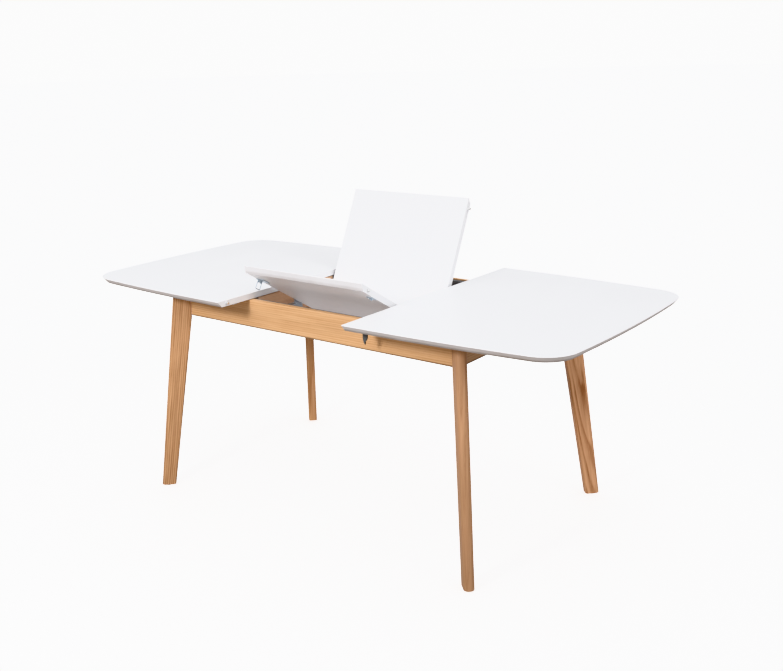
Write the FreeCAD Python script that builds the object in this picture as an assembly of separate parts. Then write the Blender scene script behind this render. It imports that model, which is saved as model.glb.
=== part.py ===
import FreeCAD, Part
import math
import os
from FreeCAD import Vector

# Extending dining table with a folding leaf, drawn half open: the two half tops stand apart
# and the leaf is raised in a V between them.
# Millimetres. X runs along the table, Y from the near side to the far side, Z up.
# The origin is on the floor under the middle of the frame.

# Table as a whole
TABLE_HEIGHT = 745.0
TOP_WIDTH = 900.0
HALF_LENGTH = 700.0
TOP_THICK = 20.0
JOINT_GAP = 11.5

# Edges of the half tops and of the leaf
SIDE_BOW = 39.0
END_BULGE = 21.0
CORNER_RADIUS = 105.0
EDGE_LIP = 2.0
BEVEL_RUN = 15.0
ARRIS_EASE = 0.8

# Leaf: far panel pivoted on the frame, near panel hinged to it
LEAF_LENGTH = 485.0
PIVOT_FROM_FOLD = 130.0
PIVOT_BELOW_TOP = 27.0
SWING_ANGLE = 65.0
FOLD_ANGLE = 96.0
FOLD_SETBACK = 0.15

# Frame of aprons and cross rails
FRAME_LENGTH = 1127.0
FRAME_DEPTH = 620.0
APRON_HEIGHT = 94.0
APRON_THICK = 20.0
APRON_ROUND = 4.0
SLIDE_GAP = 2.0
CORNER_OPENING = 28.5
RAIL_CLEAR = 13.5
RAIL_THICK = 20.0
RAIL_HEIGHT = 82.0
RAIL_SINK = 1.0
RAIL_NOTCH_GAP = 2.0

# Corner blocks
BLOCK_ARM = 45.0
BLOCK_INSET = 6.0

# Legs, measured outwards from the corner where the apron faces would meet
LEG_THICK = 33.5
LEG_FOOT_WIDTH = 50.0
LEG_TOP_WIDTH = 73.0
LEG_FOOT_REACH = 142.0
LEG_TOP_REACH = 43.5
LEG_OUTER_ROUND = 15.0
LEG_INNER_ROUND = 7.0
LEG_SEAT = 12.2
LEG_SINK = 1.0
GLIDE_THICK = 3.0
GLIDE_RADIUS = 14.0

# Leg bolts, washers and nuts
BOLT_RADIUS = 4.0
BOLT_BITE = 34.0
BOLT_TAIL = 13.0
WASHER_RADIUS = 9.0
WASHER_THICK = 2.0
NUT_RADIUS = 7.5
NUT_HEIGHT = 6.5
BOLT_HEIGHT_SHARES = (0.25, 0.75)

# Rail dowels
DOWEL_RADIUS = 4.0
DOWEL_BITE = 13.0
DOWEL_REACH = 22.0
DOWEL_HEIGHT_SHARES = (0.14, 0.40)

# Steel runners: a channel on each long apron, a slider bar with two tabs for each half top
CHANNEL_END_GAP = 6.0
CHANNEL_HEIGHT = 32.0
CHANNEL_DEPTH = 14.0
CHANNEL_WALL = 2.0
CHANNEL_LIP = 8.0
CHANNEL_SINK = 3.0
STOP_WIDTH = 5.0
SLIDER_CLEAR = 0.6
SLIDER_LENGTH = 305.0
STOP_TRAVEL = 25.0
TAB_THICK = 3.0
TAB_STANDOFF = 2.0
TAB_FLANGE = 28.0
TAB_RAIL_GAP = 4.0
TAB_WIDTH_SHARE = 0.28
TAB_CENTRE_SHARES = (0.27, 0.80)
TAB_SCREW_SHARE = 0.27

# Wood screws
SCREW_RADIUS = 1.75
SCREW_LENGTH = 13.0
HEAD_RADIUS = 3.5
HEAD_HEIGHT = 2.0
HOLE_CLEAR = 0.2
CHANNEL_SCREW_INSET = 28.5
CHANNEL_SCREW_COUNT = 6

# Leaf pivots: plate, ear and pin on the far panel, plate and bush on the cross rail
PIVOT_RADIUS = 4.0
RUN_CLEAR = 0.05
PIVOT_PLATE_LENGTH = 42.0
PIVOT_PLATE_WIDTH = 40.0
PIVOT_PLATE_THICK = 2.5
EAR_WIDTH = 13.0
EAR_THICK = 3.0
EAR_FROM_END = 2.5
PIN_END_GAP = 1.0
BUSH_RADIUS = 6.0
BUSH_LENGTH = 9.0
BRACKET_THICK = 3.0
BRACKET_WIDTH = 40.0
BRACKET_HEIGHT = 34.0
BRACKET_SCREW_INSET = 7.0

# Rest brackets that carry the folded leaf
REST_WIDTH = 72.0
REST_LEDGE_WIDTH = 24.0
REST_REACH = 22.0
REST_HEIGHT = 24.0
REST_THICK = 2.0
REST_PLAY = 1.0
REST_FROM_CENTRE = 58.0
REST_SCREW_DROP = 14.0
REST_STAND = 20.0
REST_STAND_WIDTH = 40.0

# Alignment pins in the joint faces
PIN_FROM_RIM = 35.0
PIN_RADIUS = 4.0
PIN_PROUD = 10.0
PIN_BITE = 16.0
SOCKET_CLEAR = 0.35
SOCKET_SPARE = 1.5

# Concealed fold hinges: a cup in each panel and a curved link centred on the fold line
HINGE_PITCH = 155.0
CUP_WIDTH = 15.0
CUP_DEPTH = 14.5
CUP_COVER = 1.8
CUP_HEIGHT = 14.0
LINK_INNER = 7.0
LINK_OUTER = 11.0
LINK_THICK = 4.0
LINK_CLEAR = 0.4
LINK_HALF_SPAN = 72.0
CUP_FIT = 0.1

# Catches under the joints
CATCH_RIM = 25.0
CATCH_INSET = 2.5
KEEPER_LENGTH = 24.0
KEEPER_WIDTH = 22.0
KEEPER_THICK = 2.0
KEEPER_LIP = 5.0
KEEPER_LIP_WIDTH = 10.0
KEEPER_SCREW_INSET = 4.5

# Hook catches of the right half top
HOOK_INSET = 14.0
HOOK_PLATE_LENGTH = 36.0
HOOK_PLATE_WIDTH = 30.0
HOOK_PLATE_THICK = 2.0
HOOK_THICK = 5.0
HOOK_SIDE_GAP = 0.6
HOOK_EAR_THICK = 2.0
HOOK_EAR_LENGTH = 14.0
HOOK_EAR_DROP = 11.0
HOOK_PIN_RADIUS = 2.5
HOOK_PIN_DROP = 6.5
HOOK_HEAD_RADIUS = 5.8
HOOK_LENGTH = 47.0
HOOK_WIDTH = 16.0
HOOK_SCREW_INSET = 5.5

# Outline of a hanging hook: shares of its width, then of its length below the pin
HOOK_SHARES = (
    (0.36, 0.00), (0.36, 0.16), (0.50, 0.27), (0.50, 0.55), (0.30, 0.70),
    (0.02, 0.80), (-0.06, 1.00), (-0.30, 0.88), (-0.50, 0.66), (-0.50, 0.27),
    (-0.36, 0.16), (-0.36, 0.00),
)

# Wire loop catches of the leaf
LOOP_PLATE_LENGTH = 34.0
LOOP_PLATE_WIDTH = 34.0
LOOP_PLATE_THICK = 2.0
LOOP_EAR_THICK = 2.0
LOOP_EAR_LENGTH = 9.0
LOOP_EAR_DROP = 7.5
LOOP_EAR_SPREAD = 12.0
LOOP_PIN_DROP = 4.6
LOOP_WIDTH = 20.0
LOOP_LENGTH = 24.0
LOOP_BEND = 3.5
WIRE_RADIUS = 1.25
WIRE_STUB_GAP = 2.0
LOOP_SCREW_INSET = 6.0

# One overrun serves all cuts
OVERRUN = 2.0

# Places worked out from the sizes above
UNDER_Z = TABLE_HEIGHT - TOP_THICK
APRON_TOP = UNDER_Z - SLIDE_GAP
APRON_LOW = APRON_TOP - APRON_HEIGHT
RAIL_TOP = APRON_TOP - RAIL_SINK
PIVOT_Z = TABLE_HEIGHT - PIVOT_BELOW_TOP
PANEL_WIDTH = TOP_WIDTH / 2
LEAF_END = LEAF_LENGTH / 2
JOINT_X = LEAF_END + JOINT_GAP
RAIL_FACE = LEAF_END + RAIL_CLEAR
HALF_FRAME = FRAME_LENGTH / 2
HALF_DEPTH = FRAME_DEPTH / 2
APRON_INSIDE = HALF_DEPTH - APRON_THICK
MITRE_RUN = CORNER_OPENING / math.sqrt(2)
CHANNEL_TOP = APRON_TOP - CHANNEL_SINK
CHANNEL_LOW = CHANNEL_TOP - CHANNEL_HEIGHT
CHANNEL_FRONT = APRON_INSIDE - CHANNEL_DEPTH
TAB_OUTSIDE = CHANNEL_FRONT - TAB_STANDOFF
CHANNEL_HALF = HALF_FRAME - MITRE_RUN - APRON_THICK - BLOCK_ARM - CHANNEL_END_GAP
SLIDER_END = CHANNEL_HALF - STOP_WIDTH - SLIDER_CLEAR - STOP_TRAVEL
TABS_START = RAIL_FACE + RAIL_THICK + JOINT_GAP + TAB_RAIL_GAP
TABS_LENGTH = SLIDER_END - TABS_START
TAB_WIDTH = TAB_WIDTH_SHARE * TABS_LENGTH
PIN_FROM_CENTRE = PANEL_WIDTH - PIN_FROM_RIM
CATCH_FROM_CENTRE = (HALF_DEPTH + PANEL_WIDTH - CATCH_RIM) / 2
PIN_Z = TABLE_HEIGHT - TOP_THICK / 2
X_AXIS = Vector(1, 0, 0)
Y_AXIS = Vector(0, 1, 0)
Z_AXIS = Vector(0, 0, 1)
ORIGIN = Vector(0, 0, 0)

nodes = {}


def block(x0, x1, y0, y1, z0, z1):
    """Box between two corners."""
    return Part.makeBox(x1 - x0, y1 - y0, z1 - z0, Vector(x0, y0, z0))


def rod(start, direction, radius, length):
    """Round bar from a point along a direction."""
    return Part.makeCylinder(radius, length, start, direction)


def prism(points, travel):
    """Closed polygon of points swept along a vector."""
    return Part.Face(Part.makePolygon(points + points[:1])).extrude(travel)


def one_solid(shape):
    """The single solid inside a boolean result."""
    return shape.Solids[0] if len(shape.Solids) == 1 else shape


def drilled(shape, cutters):
    """Shape with all cutters taken away."""
    return one_solid(shape.cut(cutters))


def flipped_x(shape):
    """Mirror image across the middle of the table's length."""
    return shape.mirror(ORIGIN, X_AXIS)


def flipped_y(shape):
    """Mirror image across the middle of the table's width."""
    return shape.mirror(ORIGIN, Y_AXIS)


def screw(seat, direction):
    """Pan-head screw: shank along direction from its seat, head on the other side."""
    shank = rod(seat, direction, SCREW_RADIUS, SCREW_LENGTH)
    head = rod(seat, direction * -1, HEAD_RADIUS, HEAD_HEIGHT)
    return one_solid(shank.fuse(head).removeSplitter())


def screw_hole(seat, direction):
    """Hole that clears a screw's shank."""
    start = seat - direction * OVERRUN
    return rod(start, direction, SCREW_RADIUS + HOLE_CLEAR, OVERRUN + SCREW_LENGTH + HOLE_CLEAR)


def screws_and_holes(seats, direction):
    """Lists of screws and of their holes at the given seats."""
    screws = [screw(seat, direction) for seat in seats]
    holes = [screw_hole(seat, direction) for seat in seats]
    return screws, holes


# Half tops

def half_outline(inset, z):
    """Outline of the right half top drawn in by inset, at height z.

    Both long sides are arcs that run square off the joint, the outer end is an arc, and the
    corners are arcs tangent to both, so every inset outline is concentric with the others.
    """
    side_radius = (HALF_LENGTH ** 2 + SIDE_BOW ** 2) / (2 * SIDE_BOW)
    end_radius = (PANEL_WIDTH ** 2 + END_BULGE ** 2) / (2 * END_BULGE)
    side_centre = Vector(JOINT_X, PANEL_WIDTH - side_radius, z)
    end_centre = Vector(JOINT_X + HALF_LENGTH - end_radius, 0, z)
    to_side = side_radius - CORNER_RADIUS
    to_end = end_radius - CORNER_RADIUS
    apart = end_centre - side_centre
    along = (to_side ** 2 - to_end ** 2 + apart.Length ** 2) / (2 * apart.Length)
    across = math.sqrt(to_side ** 2 - along ** 2)
    unit = apart / apart.Length
    corner = side_centre + unit * along + Vector(-unit.y, unit.x, 0) * -across
    if corner.y < 0:
        corner = side_centre + unit * along + Vector(-unit.y, unit.x, 0) * across
    corner_size = CORNER_RADIUS - inset
    side_way = (corner - side_centre).normalize()
    end_way = (corner - end_centre).normalize()
    mid_way = (side_way + end_way).normalize()
    joint = Vector(JOINT_X, PANEL_WIDTH - inset, z)
    side_touch = corner + side_way * corner_size
    end_touch = corner + end_way * corner_size
    side_turn = math.atan2(side_touch.x - JOINT_X, side_touch.y - side_centre.y) / 2
    side_bend = Vector(math.sin(side_turn), math.cos(side_turn), 0) * (side_radius - inset)
    far_side = [
        Part.Arc(joint, side_centre + side_bend, side_touch).toShape(),
        Part.Arc(side_touch, corner + mid_way * corner_size, end_touch).toShape(),
    ]
    tip = Vector(JOINT_X + HALF_LENGTH - inset, 0, z)
    end = Part.Arc(end_touch, tip, Vector(end_touch.x, -end_touch.y, z)).toShape()
    near_side = [flipped_y(edge) for edge in far_side]
    joint_line = Part.makeLine(Vector(joint.x, -joint.y, z), joint)
    return Part.Wire(Part.__sortEdges__(far_side + [end] + near_side + [joint_line]))


def half_top_blank():
    """Right half top: eased arris, short lip, then a long bevel under the rim."""
    sections = [
        half_outline(BEVEL_RUN, UNDER_Z),
        half_outline(0, TABLE_HEIGHT - EDGE_LIP),
        half_outline(0, TABLE_HEIGHT - ARRIS_EASE),
        half_outline(ARRIS_EASE, TABLE_HEIGHT),
    ]
    return Part.makeLoft(sections, True, True)


def tab_centres():
    """Places of a right slider's tabs along the table."""
    return [TABS_START + share * TABS_LENGTH for share in TAB_CENTRE_SHARES]


def tab_screw_seats():
    """Seats of the screws that hold the right sliders' tabs under the half top."""
    middle = TAB_OUTSIDE - TAB_FLANGE / 2 - TAB_THICK / 2
    spread = TAB_SCREW_SHARE * TAB_WIDTH
    seats = []
    for side in (-1, 1):
        for centre in tab_centres():
            for step in (-1, 1):
                seats.append(Vector(centre + step * spread, side * middle, UNDER_Z - TAB_THICK))
    return seats


def slider_near_right():
    """Slider bar in the near channel with two cranked tabs for the right half top."""
    outside = -(APRON_INSIDE - CHANNEL_WALL - SLIDER_CLEAR)
    inside = -(CHANNEL_FRONT + CHANNEL_WALL + SLIDER_CLEAR)
    low = CHANNEL_LOW + CHANNEL_WALL + SLIDER_CLEAR
    high = CHANNEL_TOP - CHANNEL_WALL - SLIDER_CLEAR
    mouth_low = CHANNEL_LOW + CHANNEL_LIP + SLIDER_CLEAR
    mouth_high = CHANNEL_TOP - CHANNEL_LIP - SLIDER_CLEAR
    shape = block(SLIDER_END - SLIDER_LENGTH, SLIDER_END, outside, inside, low, high)
    plate = -TAB_OUTSIDE
    for centre in tab_centres():
        x0 = centre - TAB_WIDTH / 2
        x1 = centre + TAB_WIDTH / 2
        neck = block(x0, x1, inside, plate, mouth_low, mouth_high)
        upright = block(x0, x1, plate, plate + TAB_THICK, mouth_low, UNDER_Z)
        flange = block(x0, x1, plate, plate + TAB_FLANGE, UNDER_Z - TAB_THICK, UNDER_Z)
        shape = shape.fuse([neck, upright, flange])
    return shape.removeSplitter()


def make_sliders_and_tops():
    """Half tops, their sliders, pins, sockets and screws."""
    screws, holes = screws_and_holes(tab_screw_seats(), Z_AXIS)
    near_holes = [hole for hole in holes if hole.BoundBox.YMax < 0]
    slider = drilled(slider_near_right(), near_holes)
    nodes["right_slider_near"] = slider
    nodes["right_slider_far"] = flipped_y(slider)
    nodes["left_slider_near"] = flipped_x(slider)
    nodes["left_slider_far"] = flipped_y(flipped_x(slider))

    blank = half_top_blank()
    sockets = []
    pin_holes = []
    pins = []
    for side in (-1, 1):
        face = Vector(JOINT_X, side * PIN_FROM_CENTRE, PIN_Z)
        deep = PIN_PROUD + SOCKET_SPARE
        sockets.append(rod(face - X_AXIS * OVERRUN, X_AXIS, PIN_RADIUS + SOCKET_CLEAR, deep + OVERRUN))
        left_face = Vector(-JOINT_X, side * PIN_FROM_CENTRE, PIN_Z)
        pin_holes.append(rod(left_face - X_AXIS * PIN_BITE, X_AXIS, PIN_RADIUS, PIN_BITE + OVERRUN))
        pins.append(rod(left_face - X_AXIS * PIN_BITE, X_AXIS, PIN_RADIUS, PIN_BITE + PIN_PROUD))

    hook_screws, hook_holes = screws_and_holes(hook_screw_seats(), Z_AXIS)
    keeper_screws, keeper_holes = screws_and_holes(left_keeper_screw_seats(), Z_AXIS)
    nodes["right_top"] = drilled(blank, sockets + holes + hook_holes)
    left_holes = [flipped_x(hole) for hole in holes]
    nodes["left_top"] = drilled(flipped_x(blank), pin_holes + left_holes + keeper_holes)
    nodes["left_joint_pins"] = Part.makeCompound(pins)
    nodes["right_screws"] = Part.makeCompound(screws + hook_screws)
    nodes["left_screws"] = Part.makeCompound([flipped_x(one) for one in screws] + keeper_screws)


# Catches

def keeper(x_edge, inward, y_centre):
    """Flat keeper plate with a small lip, from the joint edge inwards along X."""
    start = x_edge + inward * CATCH_INSET
    x0 = min(start, start + inward * KEEPER_LENGTH)
    y0 = y_centre - KEEPER_WIDTH / 2
    plate_low = UNDER_Z - KEEPER_THICK
    plate = block(x0, x0 + KEEPER_LENGTH, y0, y0 + KEEPER_WIDTH, plate_low, UNDER_Z)
    lip_x = x0 + KEEPER_LENGTH / 2 - KEEPER_THICK / 2
    lip_y = y_centre - KEEPER_LIP_WIDTH / 2
    lip_x1 = lip_x + KEEPER_THICK
    lip = block(lip_x, lip_x1, lip_y, lip_y + KEEPER_LIP_WIDTH, plate_low - KEEPER_LIP, UNDER_Z)
    return plate.fuse(lip).removeSplitter()


def keeper_screw_seats(x_edge, inward, y_centre):
    """Seats of a keeper's two screws."""
    middle = x_edge + inward * (CATCH_INSET + KEEPER_LENGTH / 2)
    spread = KEEPER_LENGTH / 2 - KEEPER_SCREW_INSET
    return [Vector(middle + step * spread, y_centre, UNDER_Z - KEEPER_THICK) for step in (-1, 1)]


def left_keeper_screw_seats():
    """Screw seats of both keepers under the left half top."""
    seats = []
    for side in (-1, 1):
        seats += keeper_screw_seats(-JOINT_X, -1, side * CATCH_FROM_CENTRE)
    return seats


def hook_pin_place(side):
    """Middle of the hook's pin under the right half top."""
    x = JOINT_X + HOOK_INSET + HOOK_EAR_LENGTH / 2
    return Vector(x, side * CATCH_FROM_CENTRE, UNDER_Z - HOOK_PLATE_THICK - HOOK_PIN_DROP)


def hook_screw_seats():
    """Seats of the screws of both hook plates."""
    x = JOINT_X + HOOK_INSET + HOOK_PLATE_LENGTH - HOOK_SCREW_INSET
    spread = HOOK_PLATE_WIDTH / 2 - HOOK_SCREW_INSET
    seats = []
    for side in (-1, 1):
        for step in (-1, 1):
            seats.append(Vector(x, side * CATCH_FROM_CENTRE + step * spread, UNDER_Z - HOOK_PLATE_THICK))
    return seats


def hook_plate(side):
    """Plate with two ears that carry a hook's pin."""
    pin = hook_pin_place(side)
    x0 = JOINT_X + HOOK_INSET
    y0 = pin.y - HOOK_PLATE_WIDTH / 2
    plate_low = UNDER_Z - HOOK_PLATE_THICK
    plate = block(x0, x0 + HOOK_PLATE_LENGTH, y0, y0 + HOOK_PLATE_WIDTH, plate_low, UNDER_Z)
    inner = HOOK_THICK / 2 + HOOK_SIDE_GAP
    low = plate_low - HOOK_EAR_DROP
    ears = []
    for step in (-1, 1):
        near = pin.y + step * inner
        ear_y = min(near, near + step * HOOK_EAR_THICK)
        ears.append(block(x0, x0 + HOOK_EAR_LENGTH, ear_y, ear_y + HOOK_EAR_THICK, low, plate_low))
    half_pin = inner + HOOK_EAR_THICK
    bore = rod(pin - Y_AXIS * (half_pin + OVERRUN), Y_AXIS, HOOK_PIN_RADIUS, 2 * (half_pin + OVERRUN))
    return one_solid(plate.fuse(ears).removeSplitter().cut(bore))


def hook_pin(side):
    """Pin through a hook and both ears of its plate."""
    half_pin = HOOK_THICK / 2 + HOOK_SIDE_GAP + HOOK_EAR_THICK
    return rod(hook_pin_place(side) - Y_AXIS * half_pin, Y_AXIS, HOOK_PIN_RADIUS, 2 * half_pin)


def hook(side):
    """Hanging hook: a flat plate with a round head on its pin and a pointed nose."""
    pin = hook_pin_place(side)
    start = pin - Y_AXIS * (HOOK_THICK / 2)
    points = [start + Vector(wide * HOOK_WIDTH, 0, -low * HOOK_LENGTH) for wide, low in HOOK_SHARES]
    blade = prism(points, Y_AXIS * HOOK_THICK)
    head = rod(start, Y_AXIS, HOOK_HEAD_RADIUS, HOOK_THICK)
    bore = rod(start - Y_AXIS * OVERRUN, Y_AXIS, HOOK_PIN_RADIUS + RUN_CLEAR, HOOK_THICK + 2 * OVERRUN)
    return one_solid(blade.fuse(head).removeSplitter().cut(bore))


def make_half_top_catches():
    """Keepers under the left half top, hooks under the right half top."""
    keepers = []
    keeper_holes = screws_and_holes(left_keeper_screw_seats(), Z_AXIS)[1]
    for side in (-1, 1):
        keepers.append(drilled(keeper(-JOINT_X, -1, side * CATCH_FROM_CENTRE), keeper_holes))
    nodes["left_keepers"] = Part.makeCompound(keepers)
    hook_holes = screws_and_holes(hook_screw_seats(), Z_AXIS)[1]
    plates = [drilled(hook_plate(side), hook_holes) for side in (-1, 1)]
    nodes["right_hook_plates"] = Part.makeCompound(plates)
    nodes["right_hook_pins"] = Part.makeCompound([hook_pin(side) for side in (-1, 1)])
    nodes["hook_near"] = hook(-1)
    nodes["hook_far"] = hook(1)


# Leaf, drawn flat first and then turned to its raised place

def swung(shape):
    """A far panel's piece turned about the frame pivot."""
    turned = shape.copy()
    turned.rotate(Vector(0, PIVOT_FROM_FOLD, PIVOT_Z), X_AXIS, SWING_ANGLE)
    return turned


def folded(shape, angle):
    """A piece turned up about the fold line, then swung with the far panel."""
    turned = shape.copy()
    turned.rotate(Vector(0, 0, TABLE_HEIGHT), X_AXIS * -1, angle)
    return swung(turned)


def leaf_panel(side):
    """Flat leaf panel on the near (-1) or far (1) side, with the bevelled rim of the half tops."""
    rim = side * PANEL_WIDTH
    fold = side * FOLD_SETBACK
    profile = [
        Vector(-LEAF_END, fold, TABLE_HEIGHT),
        Vector(-LEAF_END, rim - side * ARRIS_EASE, TABLE_HEIGHT),
        Vector(-LEAF_END, rim, TABLE_HEIGHT - ARRIS_EASE),
        Vector(-LEAF_END, rim, TABLE_HEIGHT - EDGE_LIP),
        Vector(-LEAF_END, rim - side * BEVEL_RUN, UNDER_Z),
        Vector(-LEAF_END, fold, UNDER_Z),
    ]
    return prism(profile, X_AXIS * LEAF_LENGTH)


def hinge_places():
    """Places of the fold hinges along the leaf."""
    return [-HINGE_PITCH, 0, HINGE_PITCH]


def cup_block(x, side, slack):
    """Room of a hinge cup in the fold edge of a panel."""
    near = -OVERRUN if slack else FOLD_SETBACK
    y0 = near if side > 0 else -CUP_DEPTH - slack
    y1 = CUP_DEPTH + slack if side > 0 else -near
    high = TABLE_HEIGHT - CUP_COVER + slack
    low = TABLE_HEIGHT - CUP_COVER - CUP_HEIGHT - slack
    return block(x - CUP_WIDTH / 2 - slack, x + CUP_WIDTH / 2 + slack, y0, y1, low, high)


def ring(x, inner, outer, thick):
    """Flat ring across X, centred on the fold line."""
    start = Vector(x - thick / 2, 0, TABLE_HEIGHT)
    return rod(start, X_AXIS, outer, thick).cut(rod(start, X_AXIS, inner, thick))


def hinge_cup(x, side):
    """Hinge cup with the curved slot that its link runs in."""
    slot = ring(x, LINK_INNER - LINK_CLEAR, LINK_OUTER + LINK_CLEAR, LINK_THICK + 2 * LINK_CLEAR)
    return one_solid(cup_block(x, side, 0).cut(slot))


def hinge_link(x):
    """Curved link that hangs under the fold line, spanning both cups when the leaf is flat."""
    reach = 2 * LINK_OUTER
    rise = reach / math.tan(math.radians(LINK_HALF_SPAN))
    x0 = x - LINK_THICK
    fan = [
        Vector(x0, 0, TABLE_HEIGHT),
        Vector(x0, -reach, TABLE_HEIGHT - rise),
        Vector(x0, -reach, TABLE_HEIGHT - reach),
        Vector(x0, reach, TABLE_HEIGHT - reach),
        Vector(x0, reach, TABLE_HEIGHT - rise),
    ]
    wedge = prism(fan, X_AXIS * (2 * LINK_THICK))
    return one_solid(ring(x, LINK_INNER, LINK_OUTER, LINK_THICK).common(wedge))


def loop_pin_place(side):
    """Middle of a wire loop's axis under the left end of a panel."""
    x = -LEAF_END + CATCH_INSET + LOOP_EAR_LENGTH / 2
    return Vector(x, side * CATCH_FROM_CENTRE, UNDER_Z - LOOP_PLATE_THICK - LOOP_PIN_DROP)


def loop_plate(side):
    """Plate with two ears that hold a wire loop."""
    axis = loop_pin_place(side)
    x0 = -LEAF_END + CATCH_INSET
    y0 = axis.y - LOOP_PLATE_WIDTH / 2
    plate_low = UNDER_Z - LOOP_PLATE_THICK
    plate = block(x0, x0 + LOOP_PLATE_LENGTH, y0, y0 + LOOP_PLATE_WIDTH, plate_low, UNDER_Z)
    low = plate_low - LOOP_EAR_DROP
    ears = []
    for step in (-1, 1):
        middle = axis.y + step * LOOP_EAR_SPREAD / 2
        ear_y = middle - LOOP_EAR_THICK / 2
        ears.append(block(x0, x0 + LOOP_EAR_LENGTH, ear_y, ear_y + LOOP_EAR_THICK, low, plate_low))
    start = axis - Y_AXIS * LOOP_PLATE_WIDTH
    bore = rod(start, Y_AXIS, WIRE_RADIUS + RUN_CLEAR, 2 * LOOP_PLATE_WIDTH)
    return one_solid(plate.fuse(ears).removeSplitter().cut(bore))


def loop_screw_seats(side):
    """Seats of a loop plate's screws."""
    x = -LEAF_END + CATCH_INSET + LOOP_PLATE_LENGTH - LOOP_SCREW_INSET
    spread = LOOP_PLATE_WIDTH / 2 - LOOP_SCREW_INSET
    middle = side * CATCH_FROM_CENTRE
    return [Vector(x, middle + step * spread, UNDER_Z - LOOP_PLATE_THICK) for step in (-1, 1)]


def wire_loop(side):
    """Hanging wire loop: two stubs in the ears, two arms and a cross bar with rounded bends."""
    axis = loop_pin_place(side)
    half = LOOP_WIDTH / 2
    stub = WIRE_STUB_GAP
    bend = LOOP_BEND
    slack = bend * (1 - math.sqrt(0.5))

    def at(y, z):
        return axis + Vector(0, y, z)

    def arc(first, middle, last):
        return Part.Arc(first, middle, last).toShape()

    low = -LOOP_LENGTH
    inner = half - bend
    close = half - slack
    edges = [
        Part.makeLine(at(-stub, 0), at(-inner, 0)),
        arc(at(-inner, 0), at(-close, -slack), at(-half, -bend)),
        Part.makeLine(at(-half, -bend), at(-half, low + bend)),
        arc(at(-half, low + bend), at(-close, low + slack), at(-inner, low)),
        Part.makeLine(at(-inner, low), at(inner, low)),
        arc(at(inner, low), at(close, low + slack), at(half, low + bend)),
        Part.makeLine(at(half, low + bend), at(half, -bend)),
        arc(at(half, -bend), at(close, -slack), at(inner, 0)),
        Part.makeLine(at(inner, 0), at(stub, 0)),
    ]
    section = Part.Wire([Part.makeCircle(WIRE_RADIUS, at(-stub, 0), Y_AXIS)])
    return Part.Wire(edges).makePipeShell([section], True, False)


def pivot_pin(end):
    """Pivot pin at one end (-1 left, 1 right) of the far panel."""
    inner = LEAF_END - EAR_FROM_END - EAR_THICK
    pin_length = RAIL_FACE - PIN_END_GAP - inner
    pin = rod(Vector(inner, PIVOT_FROM_FOLD, PIVOT_Z), X_AXIS, PIVOT_RADIUS, pin_length)
    return pin if end > 0 else flipped_x(pin)


def pivot_plate(end):
    """Plate with the ear that holds a pivot pin, at one end of the far panel."""
    outer = LEAF_END - EAR_FROM_END
    plate_y = PIVOT_FROM_FOLD - PIVOT_PLATE_WIDTH / 2
    plate_low = UNDER_Z - PIVOT_PLATE_THICK
    plate_end = plate_y + PIVOT_PLATE_WIDTH
    shape = block(outer - PIVOT_PLATE_LENGTH, outer, plate_y, plate_end, plate_low, UNDER_Z)
    ear_y = PIVOT_FROM_FOLD - EAR_WIDTH / 2
    ear = block(outer - EAR_THICK, outer, ear_y, ear_y + EAR_WIDTH, PIVOT_Z, plate_low)
    eye = rod(Vector(outer - EAR_THICK, PIVOT_FROM_FOLD, PIVOT_Z), X_AXIS, EAR_WIDTH / 2, EAR_THICK)
    shape = shape.fuse([ear, eye]).removeSplitter()
    shape = shape if end > 0 else flipped_x(shape)
    return one_solid(shape.cut(pivot_pin(end)))


def pivot_screw_seats(end):
    """Seats of the screws of one pivot plate."""
    x = end * (LEAF_END - EAR_FROM_END - PIVOT_PLATE_LENGTH / 2)
    spread = PIVOT_PLATE_WIDTH / 2 - BRACKET_SCREW_INSET
    return [Vector(x, PIVOT_FROM_FOLD + step * spread, UNDER_Z - PIVOT_PLATE_THICK) for step in (-1, 1)]


def make_leaf_panel(name, side, place):
    """One leaf panel with its hinge cups, catch pieces, pin, socket and screws, set in place."""
    catch_y = side * CATCH_FROM_CENTRE
    loop_screws, loop_holes = screws_and_holes(loop_screw_seats(side), Z_AXIS)
    keep_seats = keeper_screw_seats(LEAF_END, -1, catch_y)
    keep_screws, keep_holes = screws_and_holes(keep_seats, Z_AXIS)
    screws = loop_screws + keep_screws
    cuts = loop_holes + keep_holes
    if side > 0:
        for end, word in ((-1, "left"), (1, "right")):
            pivot_screws, pivot_holes = screws_and_holes(pivot_screw_seats(end), Z_AXIS)
            nodes["leaf_pivot_plate_" + word] = place(drilled(pivot_plate(end), pivot_holes))
            nodes["leaf_pivot_pin_" + word] = place(pivot_pin(end))
            screws += pivot_screws
            cuts += pivot_holes
    cuts += [cup_block(x, side, CUP_FIT) for x in hinge_places()]
    face = Vector(LEAF_END, side * PIN_FROM_CENTRE, PIN_Z)
    pin_start = face - X_AXIS * PIN_BITE
    cuts.append(rod(pin_start, X_AXIS, PIN_RADIUS, PIN_BITE + OVERRUN))
    socket_start = Vector(-LEAF_END - OVERRUN, side * PIN_FROM_CENTRE, PIN_Z)
    cuts.append(rod(socket_start, X_AXIS, PIN_RADIUS + SOCKET_CLEAR, OVERRUN + PIN_PROUD + SOCKET_SPARE))
    nodes[name + "_panel"] = place(drilled(leaf_panel(side), cuts))
    nodes[name + "_joint_pin"] = place(rod(pin_start, X_AXIS, PIN_RADIUS, PIN_BITE + PIN_PROUD))
    nodes[name + "_hinge_cups"] = place(Part.makeCompound([hinge_cup(x, side) for x in hinge_places()]))
    nodes[name + "_loop_plate"] = place(drilled(loop_plate(side), loop_holes))
    nodes[name + "_wire_loop"] = place(wire_loop(side))
    nodes[name + "_keeper"] = place(drilled(keeper(LEAF_END, -1, catch_y), keep_holes))
    nodes[name + "_screws"] = place(Part.makeCompound(screws))


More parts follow.
